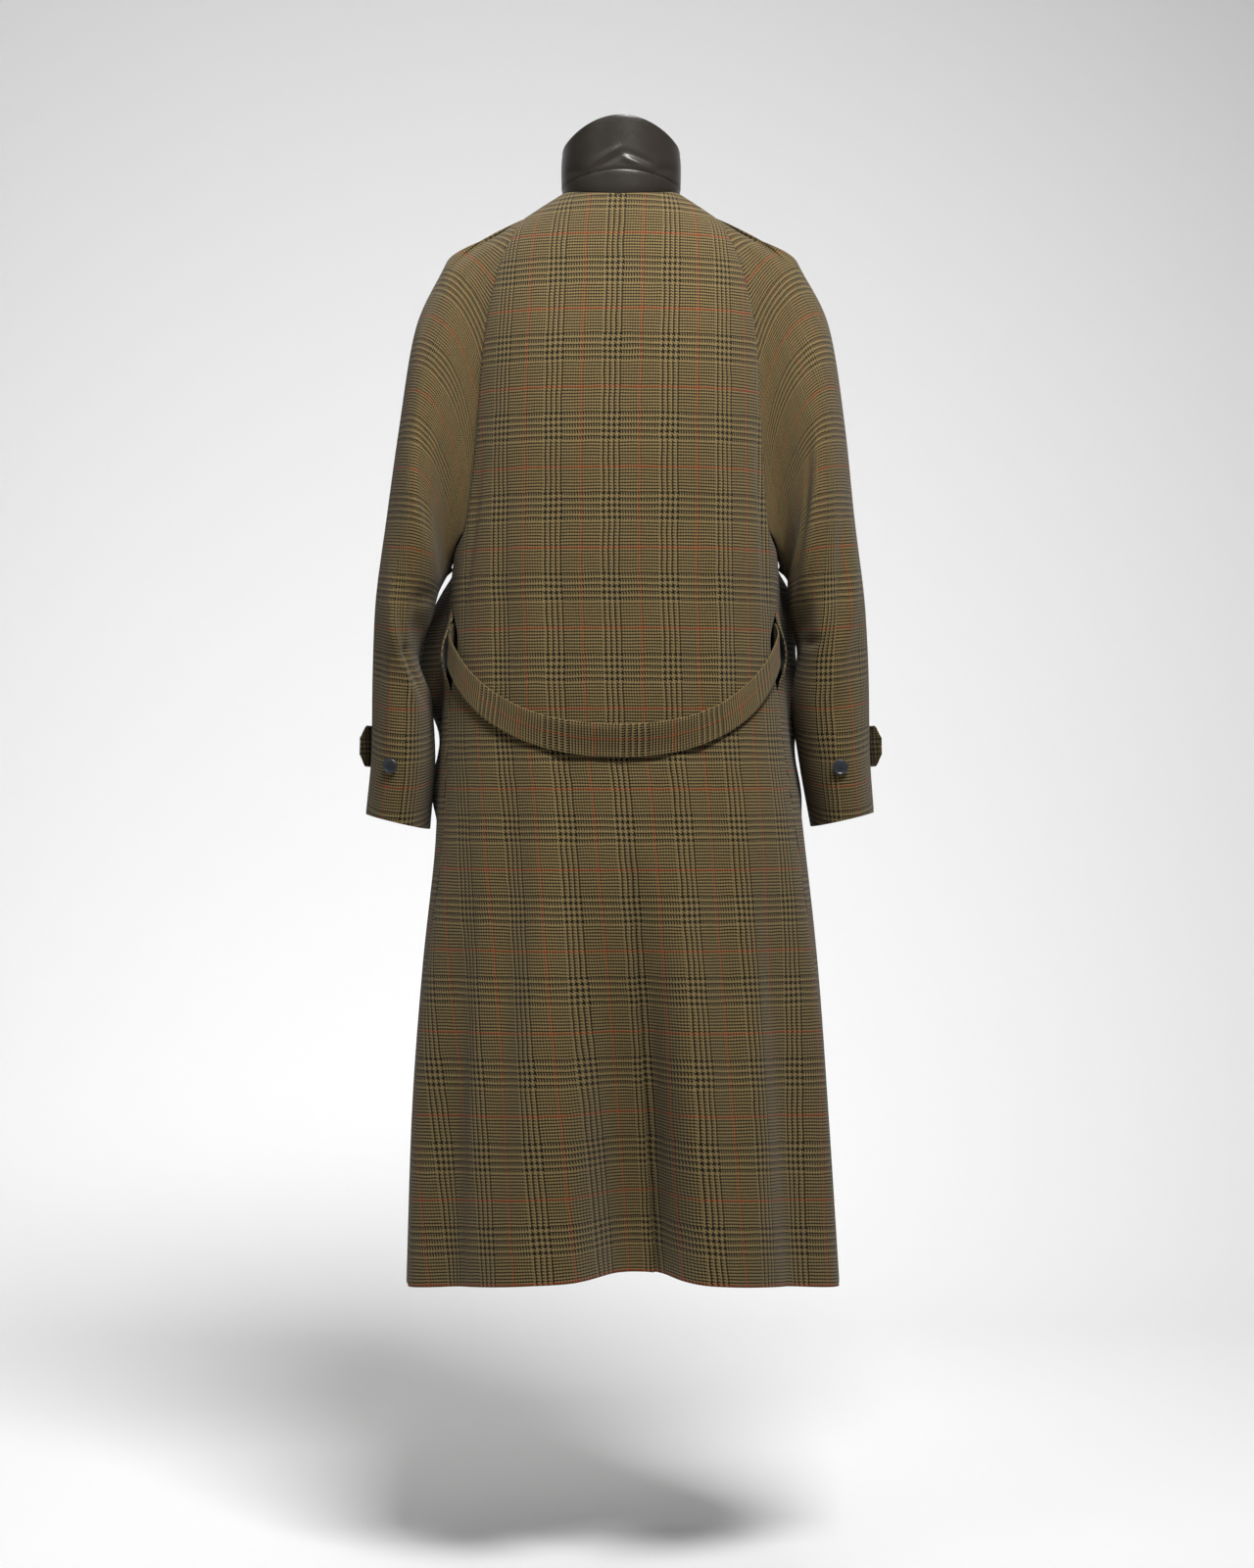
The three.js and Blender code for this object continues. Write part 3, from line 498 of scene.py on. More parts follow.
class Finish:
    """One material and the ways to add nodes to it."""

    def __init__(self, name, **constants):
        self.material = bpy.data.materials.new(name)
        self.material.use_nodes = True
        self.tree = self.material.node_tree
        self.shader = self.tree.nodes["Principled BSDF"]
        for socket, value in constants.items():
            self.shader.inputs[socket.replace("_", " ")].default_value = value

    def add(self, kind, settings=None, inputs=None, output=0):
        node = self.tree.nodes.new(kind)
        for name, value in (settings or {}).items():
            if name == "stops":
                ramp = node.color_ramp
                while len(ramp.elements) < len(value):
                    ramp.elements.new(0.5)
                for element, (place, colour) in zip(ramp.elements, value):
                    element.position = place
                    element.color = colour
            else:
                setattr(node, name, value)
        for key, value in (inputs or {}).items():
            self.feed(node.inputs[key], value)
        return Wired(self, node.outputs[output])

    def feed(self, socket, value):
        if isinstance(value, Wired):
            self.tree.links.new(value.socket, socket)
        else:
            socket.default_value = value

    def math(self, operation, *values):
        return self.add("ShaderNodeMath", {"operation": operation}, dict(enumerate(values)))

    def fraction(self, value):
        return self.math("FRACT", value)

    def blend(self, share, first, second):
        """A colour between two, by a share."""
        return self.add("ShaderNodeMix", {"data_type": "RGBA"}, {0: share, 6: first, 7: second}, 2)

    def tint(self, colour, strength):
        """A colour made lighter or darker by a number."""
        grey = self.add("ShaderNodeCombineColor", None, {0: strength, 1: strength, 2: strength})
        return self.add("ShaderNodeMix", {"data_type": "RGBA", "blend_type": "MULTIPLY"},
                        {0: 1.0, 6: colour, 7: grey}, 2)

    def noise(self, vector, scale, detail=2.0, roughness=0.5):
        return self.add("ShaderNodeTexNoise", None,
                        {"Vector": vector, "Scale": scale, "Detail": detail, "Roughness": roughness})

    def object_place(self):
        return self.add("ShaderNodeTexCoord", output="Object")

    def finish(self, colour=None, roughness=None, height=None, distance=0.0005, strength=1.0):
        if colour is not None:
            self.feed(self.shader.inputs["Base Color"], colour)
        if roughness is not None:
            self.feed(self.shader.inputs["Roughness"], roughness)
        if height is not None:
            bump = self.add("ShaderNodeBump", None,
                            {"Strength": strength, "Distance": distance, "Height": height})
            self.feed(self.shader.inputs["Normal"], bump)
        return self.material


def srgb(red, green, blue):
    """A colour from its 0 to 255 values as they look on a screen."""
    def linear(value):
        value /= 255
        return value / 12.92 if value <= 0.04045 else ((value + 0.055) / 1.055) ** 2.4
    return (linear(red), linear(green), linear(blue), 1.0)


# Glen check: broad stripes of four and four yarns, fine ones of two and two, and a rust overcheck.
WARP_REPEAT = 65.0
WEFT_REPEAT = 89.4
WARP_YARNS = 88
WEFT_YARNS = 104
WARP_BROAD = 32
WEFT_BROAD = 40
LIGHT_YARN = srgb(156, 134, 87)
DARK_YARN = srgb(19, 15, 7)
GREEN_YARN = srgb(27, 25, 9)
RUST_YARN = srgb(178, 72, 40)
RUST_HALF = 1.1
WARP_WANDER = 2.2
WEFT_WANDER = 1.6
TWEED_BRIGHTNESS = 0.49


def tweed(name, brightness):
    f = Finish(name, Sheen_Weight=0.08, Sheen_Roughness=0.55, Specular_IOR_Level=0.12)
    cloth = f.add("ShaderNodeUVMap", {"uv_map": "cloth"})
    place = f.object_place()
    slub = f.noise(place, 40.0, 1.0)
    across = f.add("ShaderNodeSeparateXYZ", None, {0: cloth}, 0) * METRE + (slub - 0.5) * WARP_WANDER
    down = f.add("ShaderNodeSeparateXYZ", None, {0: cloth}, 1) * METRE + (slub - 0.5) * WEFT_WANDER

    def yarns(length, repeat, count, broad):
        number = f.fraction(length / repeat + (broad / 2 - 2) / count) * count
        in_broad = number < broad
        in_fours = f.fraction(number / 8) < 0.5
        in_twos = f.fraction(number / 4) < 0.5
        dark = in_broad * in_fours + (1 - in_broad) * in_twos
        rust = abs(number - (broad + count) / 2) < RUST_HALF
        return number, in_broad, dark, rust

    warp, warp_broad, warp_dark, warp_rust = yarns(across, WARP_REPEAT, WARP_YARNS, WARP_BROAD)
    weft, weft_broad, weft_dark, weft_rust = yarns(down, WEFT_REPEAT, WEFT_YARNS, WEFT_BROAD)

    def yarn_colour(broad, dark, rust):
        shade = f.blend(broad, GREEN_YARN, DARK_YARN)
        return f.blend(rust, f.blend(dark, LIGHT_YARN, shade), RUST_YARN)

    twill = f.fraction((f.math("FLOOR", warp) + f.math("FLOOR", weft)) / 4) < 0.5
    colour = f.blend(twill, yarn_colour(weft_broad, weft_dark, weft_rust),
                     yarn_colour(warp_broad, warp_dark, warp_rust))
    heather = f.noise(place, 900.0, 2.0, 0.7)
    cloud = f.noise(place, 9.0, 3.0)
    colour = f.tint(colour, (0.45 + heather * 1.1) * (0.92 + cloud * 0.16) * brightness)
    warp_round = f.math("SINE", f.fraction(warp) * math.pi)
    weft_round = f.math("SINE", f.fraction(weft) * math.pi)
    height = twill * warp_round + (1 - twill) * weft_round + heather * 1.1 + f.noise(place, 260.0, 2.0) * 1.2
    return f.finish(colour, 0.86 + heather * 0.12, height, 0.00035, 0.55)


def leather():
    f = Finish("collar_leather", Specular_IOR_Level=0.5, Coat_Roughness=0.32)
    place = f.object_place()
    grain = f.add("ShaderNodeTexVoronoi", {"feature": "DISTANCE_TO_EDGE"}, {"Vector": place, "Scale": 620.0})
    soft = f.noise(place, 26.0, 4.0, 0.6)
    fine = f.noise(place, 420.0, 3.0, 0.6)
    colour = f.blend(soft, srgb(32, 28, 24), srgb(48, 43, 37))
    height = f.math("MINIMUM", grain * 3.0, 0.5) + fine * 0.5 + soft * 0.8
    return f.finish(colour, 0.24 + soft * 0.16 + fine * 0.06, height, 0.0002, 0.4)


def plain(name, colour, roughness, **constants):
    """A finish for trims: a base colour with a little cloud and grain in it."""
    f = Finish(name, **constants)
    place = f.object_place()
    cloud = f.noise(place, 60.0, 3.0)
    grain = f.noise(place, 900.0, 2.0)
    return f.finish(f.tint(colour, 0.8 + cloud * 0.4), roughness - 0.05 + grain * 0.1, grain, 0.0001, 0.3)


COAT_TWEED = tweed("glen_check_tweed", TWEED_BRIGHTNESS)
LINING = plain("dark_lining", srgb(44, 34, 27), 0.5, Sheen_Weight=0.1)
LEATHER = leather()
HORN = plain("dark_horn", srgb(33, 37, 43), 0.34, Specular_IOR_Level=0.5)
TWEED_THREAD = plain("olive_thread", srgb(104, 88, 56), 0.8)
LEATHER_THREAD = plain("brown_thread", srgb(60, 54, 47), 0.6)
HORN_THREAD = plain("button_thread", srgb(26, 24, 22), 0.8)


# Meshes

def placed(name, data):
    thing = bpy.data.objects.new(name, data)
    bpy.context.scene.collection.objects.link(thing)
    return thing


def smoothed(mesh):
    mesh.polygons.foreach_set("use_smooth", np.ones(len(mesh.polygons), dtype=bool))
    return mesh


def made_mesh(thing):
    """The mesh that an object's modifiers or bevel make. The object itself is taken away."""
    graph = bpy.context.evaluated_depsgraph_get()
    mesh = bpy.data.meshes.new_from_object(thing.evaluated_get(graph))
    bpy.data.objects.remove(thing)
    mesh.materials.clear()
    return mesh


def shown(name, mesh, materials):
    piece = placed(name, mesh)
    for material in materials:
        mesh.materials.append(material)
    return piece


def shell(name, grid, wall, cloth, materials, middle=(0, 0)):
    """A closed shell on a grid of points: its outer side as given, its inner side a wall further in.
    cloth holds each point's place on the flat cloth, in millimetres."""
    down, across = grid.shape[:2]
    inner = grid - grid_normals(grid, middle) * wall
    index = np.arange(down * across).reshape(down, across)
    quads = np.stack([index[:-1, :-1], index[1:, :-1], index[1:, 1:], index[:-1, 1:]], axis=-1).reshape(-1, 4)
    count = down * across
    rim = np.concatenate([index[0, :-1], index[:-1, -1], index[-1, :0:-1], index[:0:-1, 0]])
    ahead = np.roll(rim, -1)
    edge = np.stack([rim, ahead, ahead + count, rim + count], axis=-1)
    faces = np.concatenate([quads, quads[:, ::-1] + count, edge])
    places = np.concatenate([grid.reshape(-1, 3), inner.reshape(-1, 3)]) * MM
    a, b, c, d = places[faces.T]
    volume = (a * np.cross(b, c)).sum() + (a * np.cross(c, d)).sum()
    if volume < 0:
        faces = faces[:, ::-1]
    mesh = bpy.data.meshes.new(name)
    mesh.from_pydata(places.tolist(), [], faces.tolist())
    flat = np.tile(np.stack(cloth, axis=-1).reshape(-1, 2) * MM, (2, 1))
    corners = flat[faces.reshape(-1)].astype(np.float32)
    mesh.uv_layers.new(name="cloth").data.foreach_set("uv", corners.ravel())
    inside = np.zeros(len(faces), dtype=np.int32)
    if len(materials) > 1:
        inside[len(quads):2 * len(quads)] = 1
    mesh.polygons.foreach_set("material_index", inside)
    smoothed(mesh).update()
    return shown(name, mesh, materials)


def finished(piece, slot_name, *nodes):
    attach(piece, "root")
    if nodes:
        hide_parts(*nodes)
    return piece


# Back panels, joined down the centre back, with the vent below

def body_creases(angle, z):
    return crease_depth(BODY_CREASES, angle, z, BODY_DEGREE, 1.0)


CHECK_FOLLOWS_FOLDS = 0.3
SEAM_DEPTH, SEAM_WIDTH = 1.5, 1.7
RAGLAN_DEPTH, RAGLAN_WIDTH = 2.6, 3.2


def raised(angle, ring, out):
    """The body's cloth with its creases, and moved out along its own normal."""
    point = body_point(angle, ring)
    return point + body_normal(angle, ring) * (out + body_creases(angle, point[..., 2]))[..., None]


def seam_turns(share, length, ring):
    """Turns of the cloth at the centre seam (share 0) and at the raglan or side seam (share 1)."""
    raglan = ring < UNDERARM
    outer = np.where(raglan, seam_groove((1 - share) * length, RAGLAN_DEPTH, RAGLAN_WIDTH),
                     seam_groove((1 - share) * length, SEAM_DEPTH, SEAM_WIDTH))
    return seam_groove(share * length, SEAM_DEPTH, SEAM_WIDTH) + outer


def flat_across(angle, ring):
    """Length of cloth round the body from the centre back seam, mostly without what the folds take up."""
    smooth_run = run_along(body_point(angle, ring, folds=CHECK_FOLLOWS_FOLDS), 1)
    seam = np.abs(angle - centre_angle(ring)).argmin(axis=1)
    at_seam = np.take_along_axis(smooth_run, seam[:, None], axis=1)
    return (smooth_run - at_seam) * np.sign(angle[:, -1:] - angle[:, :1])


def panel_length(ring):
    return smooth(BODY, "half_left", ring) * np.radians(smooth(BODY, "seam_back", ring))


BACK_RINGS = body_rows(300)


def left_back():
    share = edged(118, 250)[None, :]
    ring = BACK_RINGS
    angle = panel_angle(centre_angle(ring), "seam_back", ring, 1, share)
    return raised(angle, ring, seam_turns(share, panel_length(ring), ring)), flat_across(angle, ring)


def right_back():
    lap_share = np.linspace(0, 1, 15)[:-1]
    share = np.concatenate([lap_share, 1 + edged(112, 250)])[None, :]
    ring = BACK_RINGS
    seam = centre_angle(ring)
    opened = ease((ring - VENT_RING) / 0.1)
    lap = angle_of(VENT_LAP * opened, ring)
    under = mix(centre_angle(ring) + lap, seam, np.minimum(share, 1))
    angle = np.where(share <= 1, under, panel_angle(seam, "seam_back", ring, -1, np.maximum(share - 1, 0)))
    below = ease((ring - (VENT_RING - 0.5)) / 0.5)
    drop = LAYER_STEP * below * ease((angle - centre_angle(ring) + 6) / 5)
    turns = seam_turns(np.maximum(share - 1, 0), panel_length(ring), ring)
    turns = turns * np.where(share < 1, 1 - opened, 1)
    return raised(angle, ring, turns - drop), flat_across(angle, ring)


BACK_CHECK_DROP = -3.1
BACKS = {}
for word, (grid, across) in (("left", left_back()), ("right", right_back())):
    BACKS[word] = grid
    down = body_down(BACK_RINGS, grid[..., 2], "z_back", 0) + BACK_CHECK_DROP
    piece = shell(f"{word}_back_cloth", grid, WALL, (across, down), [COAT_TWEED, LINING])
    finished(piece, "tweed", f"back_{word}")


# Front panels

def front_panel(side):
    share = edged(66, 330)[None, :]
    ring = body_rows(200)
    edge = 180 + angle_of(FRONT_LAP, ring)
    angle = panel_angle(side * edge, "seam_front", ring, side, share)
    clear = 180 - angle_of(FRONT_LAP, ring) - angle_of(16, ring)
    drop = 0 if side > 0 else LAYER_STEP * ease((-angle - clear) / angle_of(12, ring))
    seam_edge = smooth(BODY, "seam_front", ring)
    lift = SLIT_LIFT * side_slit(ring) * (1 - ease((side * angle - seam_edge) / 16))
    length = smooth(BODY, "half_left", ring) * np.radians(edge - smooth(BODY, "seam_front", ring))
    turns = seam_turns(share, length, ring)
    return raised(angle, ring, turns - drop + lift), angle, ring


FRONTS = {}
for word, side in SIDE.items():
    grid, angle, ring = front_panel(side)
    FRONTS[word] = grid
    across = run_along(body_point(angle, ring, folds=CHECK_FOLLOWS_FOLDS), 1) * -side
    down = np.broadcast_to(body_down(ring, grid[..., 2], "z_front", 1), grid.shape[:2])
    piece = shell(f"{word}_front_cloth", grid, WALL, (across, down), [COAT_TWEED, LINING])
    finished(piece, "tweed", f"front_{word}")


# Sleeves

def arm_point(rows, side, angle, ring, creases=None):
    turn = np.radians(angle)
    square = smooth(rows, "square", ring)
    out = round_power(np.cos(turn), square)
    back = round_power(np.sin(turn), square)
    moved = 0.0
    for fold_angle, width, fold_ring, length, depth in SLEEVE_FOLDS.values():
        away = (angle - fold_angle + 540) % 360 - 180
        moved = moved + depth * np.exp(-(away / width) ** 2 - ((ring - fold_ring) / length) ** 2)
    if creases:
        moved = moved + crease_depth(creases, angle, ring, SLEEVE_DEGREE, SLEEVE_RING)
    outer_x, inner_x = smooth(rows, "outer_x", ring), smooth(rows, "inner_x", ring)
    outer_z, inner_z = smooth(rows, "outer_z", ring), smooth(rows, "inner_z", ring)
    x = (outer_x + inner_x) / 2 + out * (outer_x - inner_x) / 2
    z = (outer_z + inner_z) / 2 + out * (outer_z - inner_z) / 2
    y = smooth(rows, "y_middle", ring) + back * smooth(rows, "half_depth", ring)
    return points(side * (x + moved * np.cos(turn)), y + moved * np.sin(turn), z)


def sleeve_start(share, half, side):
    """Angle and ring on the body at which a line of the sleeve starts."""
    column = "seam_back" if half > 0 else "seam_front"
    down = (share - NECK_SHARE) / (1 - NECK_SHARE) * UNDERARM
    ring = np.where(share <= NECK_SHARE, 0, np.minimum(down, UNDERARM - UNDERARM_GAP))
    seam = smooth(BODY, column, ring)
    along_neck = mix(OVERARM_NECK_ANGLE, seam, share / NECK_SHARE)
    return side * np.where(share <= NECK_SHARE, along_neck, seam), ring


def away_from_seam(share, half, side, normal):
    before = body_point(*sleeve_start(np.maximum(0, share - 0.01), half, side))
    after = body_point(*sleeve_start(np.minimum(1, share + 0.01), half, side))
    return unit(np.cross(after - before, normal) * side * half)


def sleeve_point(word, half, share, place):
    rows, side, creases = SLEEVES[word], SIDE[word], SLEEVE_CREASES[word]
    column = "arm_back" if half > 0 else "arm_front"
    along_neck = mix(OVERARM_ANGLE, BODY[column][0], share / NECK_SHARE)
    down_seam = smooth(BODY, column, (share - NECK_SHARE) / (1 - NECK_SHARE) * UNDERARM)
    turned = np.where(share <= NECK_SHARE, along_neck, down_seam)
    arm = arm_point(rows, side, turned, np.maximum(place - 1, 0), creases)
    angle, ring = sleeve_start(share, half, side)
    start = body_point(angle, ring)
    to = arm_point(rows, side, turned, np.zeros_like(turned), creases)
    straight = to - start
    reach = np.linalg.norm(straight, axis=-1, keepdims=True)
    arrive = unit(arm_point(rows, side, turned, np.full_like(turned, 0.02), creases) - to)
    arrive = arrive * reach * ARRIVE_SHARE
    normal = body_normal(angle, ring)
    leave = straight * 1.5 - arrive * 0.5
    leave = unit(leave - normal * dot(leave, normal))
    leave = unit(leave + away_from_seam(share, half, side, normal) * SEAM_SPREAD) * reach
    leave = mix(leave, straight, ease((share - 0.8) / 0.2)[..., None])
    cap = curve_between(start, to, leave, arrive, np.clip(place, 0, 1)[..., None])
    return np.where(place[..., None] >= 1, arm, cap)


def sleeve_grid(word, half):
    share = edged(84, 300)[None, :]
    cap = edged(26, 110, end=False)
    arm = 1 + CUFF * edged(150, 640, start=False)[1:]
    place = np.concatenate([cap, arm])[:, None]
    share, place = spread_out(share, place)
    grid = sleeve_point(word, half, share, place)
    normals = grid_normals(grid, ARM_MIDDLE[word])
    along_seam = run_along(grid, 0)
    across = run_along(grid, 1)
    width = across[:, -1:]
    seams = (seam_groove(along_seam, RAGLAN_DEPTH * 0.8, RAGLAN_WIDTH)
             + OVERARM_RIDGE * np.exp(-((across - 5) / 3.5) ** 2) * (half > 0)
             + seam_groove(across, OVERARM_GROOVE, SEAM_WIDTH)
             + seam_groove(width - across, SEAM_DEPTH, SEAM_WIDTH))
    return grid, normals, seams


OVERARM_RIDGE = 0.3
OVERARM_GROOVE = 0.15
SEAM_EASE = 12.0
GRAIN_SPAN = 190.0
ARM_MIDDLE = {"left": (236, -10), "right": (-230, -10)}
SLEEVE_CHECK_ACROSS = 15.0
SLEEVE_CHECK_DOWN = -0.7


def grain_line(overarm, reach):
    """Direction of the sleeve's straight grain at each place down its overarm seam."""
    before, after = (np.clip(reach + step, 0, reach[-1]) for step in (-GRAIN_SPAN, GRAIN_SPAN))
    steps = (np.interp(after, reach, line) - np.interp(before, reach, line) for line in overarm.T)
    return unit(points(*steps))


def joined(own, other, grid):
    """One half of a sleeve with its long edges moved onto the seams that it shares with the other half."""
    across = run_along(grid, 1)
    moved = own
    for edge, away in ((0, across), (-1, across[:, -1:] - across)):
        meet = (other[:, edge] - own[:, edge]) / 2
        moved = moved + meet[:, None] * np.exp(-(away / SEAM_EASE) ** 2)[..., None]
    return moved


SLEEVE_GRIDS = {}
for word, side in SIDE.items():
    halves = {half: sleeve_grid(word, half) for half in (1, -1)}
    for half, part in ((1, "back"), (-1, "front")):
        own_grid, own_normals, seams = halves[half]
        grid = joined(own_grid, halves[-half][0], own_grid)
        normals = unit(joined(own_normals, halves[-half][1], own_grid))
        overarm = grid[:, 0]
        reach = run_along(grid[:, :1], 0)
        tangent = grain_line(overarm, reach[:, 0])
        down = reach - reach[-1] + ((grid - overarm[:, None]) * tangent[:, None]).sum(axis=-1)
        across = run_along(grid, 1) * half * side
        grid = grid + normals * seams[..., None]
        SLEEVE_GRIDS[word, part] = grid
        cloth = (across - SLEEVE_CHECK_ACROSS * side, down + SLEEVE_CHECK_DOWN)
        piece = shell(f"{word}_sleeve_{part}_cloth", grid, WALL, cloth, [COAT_TWEED, LINING],
                      ARM_MIDDLE[word])
        finished(piece, "tweed", f"sleeve_{part}_{word}")


# Back belt

BELT_COLUMNS = 260
BELT_CHECK_ACROSS = 33
BELT_CHECK_ALONG = 20


def belt_point(angle, across):
    slit_ring = ring_at_height(SLIT_MIDDLE)
    seam = smooth(BODY, "seam_back", slit_ring)
    share = np.abs(angle) / seam
    z = BELT_MIDDLE_Z + (BELT_SIDE_Z - BELT_MIDDLE_Z) * np.minimum(1.06, share) ** BELT_SAG_POWER
    past = ease((np.abs(angle) - seam + BELT_TURN_BEFORE) / BELT_TURN)
    inside = -SOLID_WALL - 2 * SEAM_GAP
    lean = BELT_LEAN * (1 - ease(share * 1.6)) * ease((across + 1) / 2)
    ring = ring_at_height(z + across * BELT_WIDTH / 2)
    return body_point(angle, ring, mix(BELT_CLEARANCE + BELT_THICK, inside, past) + lean)


def rounded(across, depth, width, half_width):
    """How far a strip's faces turn in at its two long edges."""
    return -depth * np.exp(-(half_width - np.abs(across) * half_width) / width)


belt_end = float(smooth(BODY, "seam_back", ring_at_height(SLIT_MIDDLE)) + BELT_INSIDE_ANGLE)
belt_angles = np.linspace(-belt_end, belt_end, BELT_COLUMNS)[None, :]
belt_across = 1 - 2 * edged(14, BELT_WIDTH)[:, None]
belt_angles, belt_across = spread_out(belt_angles, belt_across)
BELT = belt_point(belt_angles, belt_across)
BELT = BELT + grid_normals(BELT) * rounded(belt_across, 1.1, 1.0, BELT_WIDTH / 2)[..., None]
belt_length = run_along(BELT, 1)
belt_middle = belt_length[:, BELT_COLUMNS // 2, None]
belt_cloth_map = (belt_across * BELT_WIDTH / 2 + BELT_CHECK_ACROSS,
                  belt_length - belt_middle + BELT_CHECK_ALONG)
belt = shell("back_belt_cloth", BELT, BELT_WALL, belt_cloth_map, [COAT_TWEED])
finished(belt, "tweed", "belt")


# Cuff tabs

def arm_normal(rows, side, angle, ring):
    return normal_of(lambda a, b: arm_point(rows, side, a, b), angle, ring, 0.5, 0.02) * -side


def tab_point(rows, side, along, across):
    ring = TAB_RING + across * TAB_WIDTH / 2 / RING_LENGTH
    angle = smooth(TAB_LINE, "angle", along)
    out = smooth(TAB_LINE, "out", along) + TAB_LIFT + TAB_THICK
    return arm_point(rows, side, angle, ring) + arm_normal(rows, side, angle, ring) * out[..., None]


TAB_END = len(TAB_LINE["angle"]) - 1
TABS = {}
for word, side in SIDE.items():
    along = TAB_END * edged(60, 130)[None, :]
    across = 1 - 2 * edged(16, TAB_WIDTH)[:, None]
    along, across = spread_out(along, across)
    shrink = mix(1, TAB_TIP_SHARE, ease((along - (TAB_END - 0.75)) / 0.75))
    grid = tab_point(SLEEVES[word], side, along, across * shrink)
    normals = grid_normals(grid, ARM_MIDDLE[word])
    from_tip = run_along(grid, 1)[:, -1:] - run_along(grid, 1)
    turned = rounded(across, 1.0, 1.0, TAB_WIDTH / 2) + seam_groove(from_tip, 1.0, 1.0)
    grid = grid + normals * turned[..., None]
    TABS[word] = grid
    flat = (across * shrink * TAB_WIDTH / 2, run_along(grid, 1))
    piece = shell(f"{word}_cuff_tab_cloth", grid, TAB_WALL, flat, [COAT_TWEED], ARM_MIDDLE[word])
    finished(piece, "tweed", f"cuff_tab_{word}")


# Collar, turned up

COLLAR_TUCK_IN = 3.4
COLLAR_TUCK_DOWN = 4.0
COLLAR_CREASES = {
    "left_pull": (30, 0.35, 2, 0.57, 4, 2.0),
    "under_left_pull": (24, 0.33, -2, 0.50, 4, -1.6),
    "right_pull": (-2, 0.45, -26, 0.32, 4, 1.9),
    "over_right_pull": (-6, 0.50, -30, 0.40, 4, -1.5),
    "left_dent": (40, 0.30, 66, 0.36, 6, -1.4),
    "right_dent": (-36, 0.30, -62, 0.40, 6, -1.4),
}


def collar_point(angle, share):
    turn = np.radians(angle)
    across, along = np.sin(turn), np.cos(turn)
    bulge = COLLAR_BULGE * np.sin(np.pi * share)
    bulge = bulge + crease_depth(COLLAR_CREASES, angle, share, COLLAR_DEGREE, COLLAR_HEIGHT)
    z_side = smooth(COLLAR, "z_side", share * 2)
    z_end = either(COLLAR, "z_back", "z_front", share * 2, along >= 0)
    y_end = either(COLLAR, "y_back", "y_front", share * 2, along >= 0)
    tucked = np.exp(-share * COLLAR_HEIGHT / 2.0)
    bulge = bulge - COLLAR_TUCK_IN * tucked
    z = z_side + (z_end - z_side) * along * along + COLLAR_SEAT * (1 - share) - COLLAR_TUCK_DOWN * tucked
    return points((smooth(COLLAR, "half", share * 2) + bulge) * across,
                  (np.abs(y_end) + bulge) * np.abs(along) * np.sign(along), z)


def stand_share(angle):
    fade = np.clip(np.abs(angle) / STAND_END_ANGLE, 0, 1)
    return mix(STAND_END_HEIGHT, STAND_HEIGHT, np.cos(fade * np.pi / 2) ** 1.2) / COLLAR_HEIGHT


def collar_grid(angles, low, high, count, top_roll):
    share = edged(count, 60)[::-1][:, None]
    angles, share = spread_out(angles[None, :], share)
    place = mix(low(angles), high(angles), share)
    grid = collar_point(angles, place)
    normals = unit(points(np.sin(np.radians(angles)), np.cos(np.radians(angles)), 0 * angles))
    height = (high(angles) - low(angles)) * COLLAR_HEIGHT
    turned = seam_groove(share * height, 1.3, 1.3) + seam_groove((1 - share) * height, top_roll, 1.2)
    return grid + normals * turned[..., None]


def fall_bottom(angle):
    return np.where(np.abs(angle) <= STAND_END_ANGLE + 1, stand_share(angle) + SEAM_GAP / COLLAR_HEIGHT, 0)


STAND = collar_grid(np.linspace(-STAND_END_ANGLE, STAND_END_ANGLE, 150), lambda a: 0 * a, stand_share,
                    14, 1.3)
FALL = collar_grid(np.linspace(-COLLAR_END_ANGLE, COLLAR_END_ANGLE, 260), fall_bottom, lambda a: 0 * a + 1,
                   34, 0.7)
for part, grid, flat_size in (("stand", STAND, (0.24, 0.03)), ("fall", FALL, (0.5, 0.095))):
    flat = (run_along(grid, 1), run_along(grid, 0))
    piece = shell(f"collar_{part}_leather", grid, LEATHER_WALL, flat, [LEATHER])
    finished(piece, "leather", f"collar_{part}")


# Buttons: a turned horn disc with a raised rim, four holes and crossed thread

BUTTON_SEAT = 0.4
BUTTON_TURNS = 56
HOLE_PLACE = 1.5
HOLE_RADIUS = 0.75
HOLE_SIDES = 14
HOLE_BOTTOM, HOLE_TOP = 2.6, 6.0
THREAD_RADIUS = 0.42


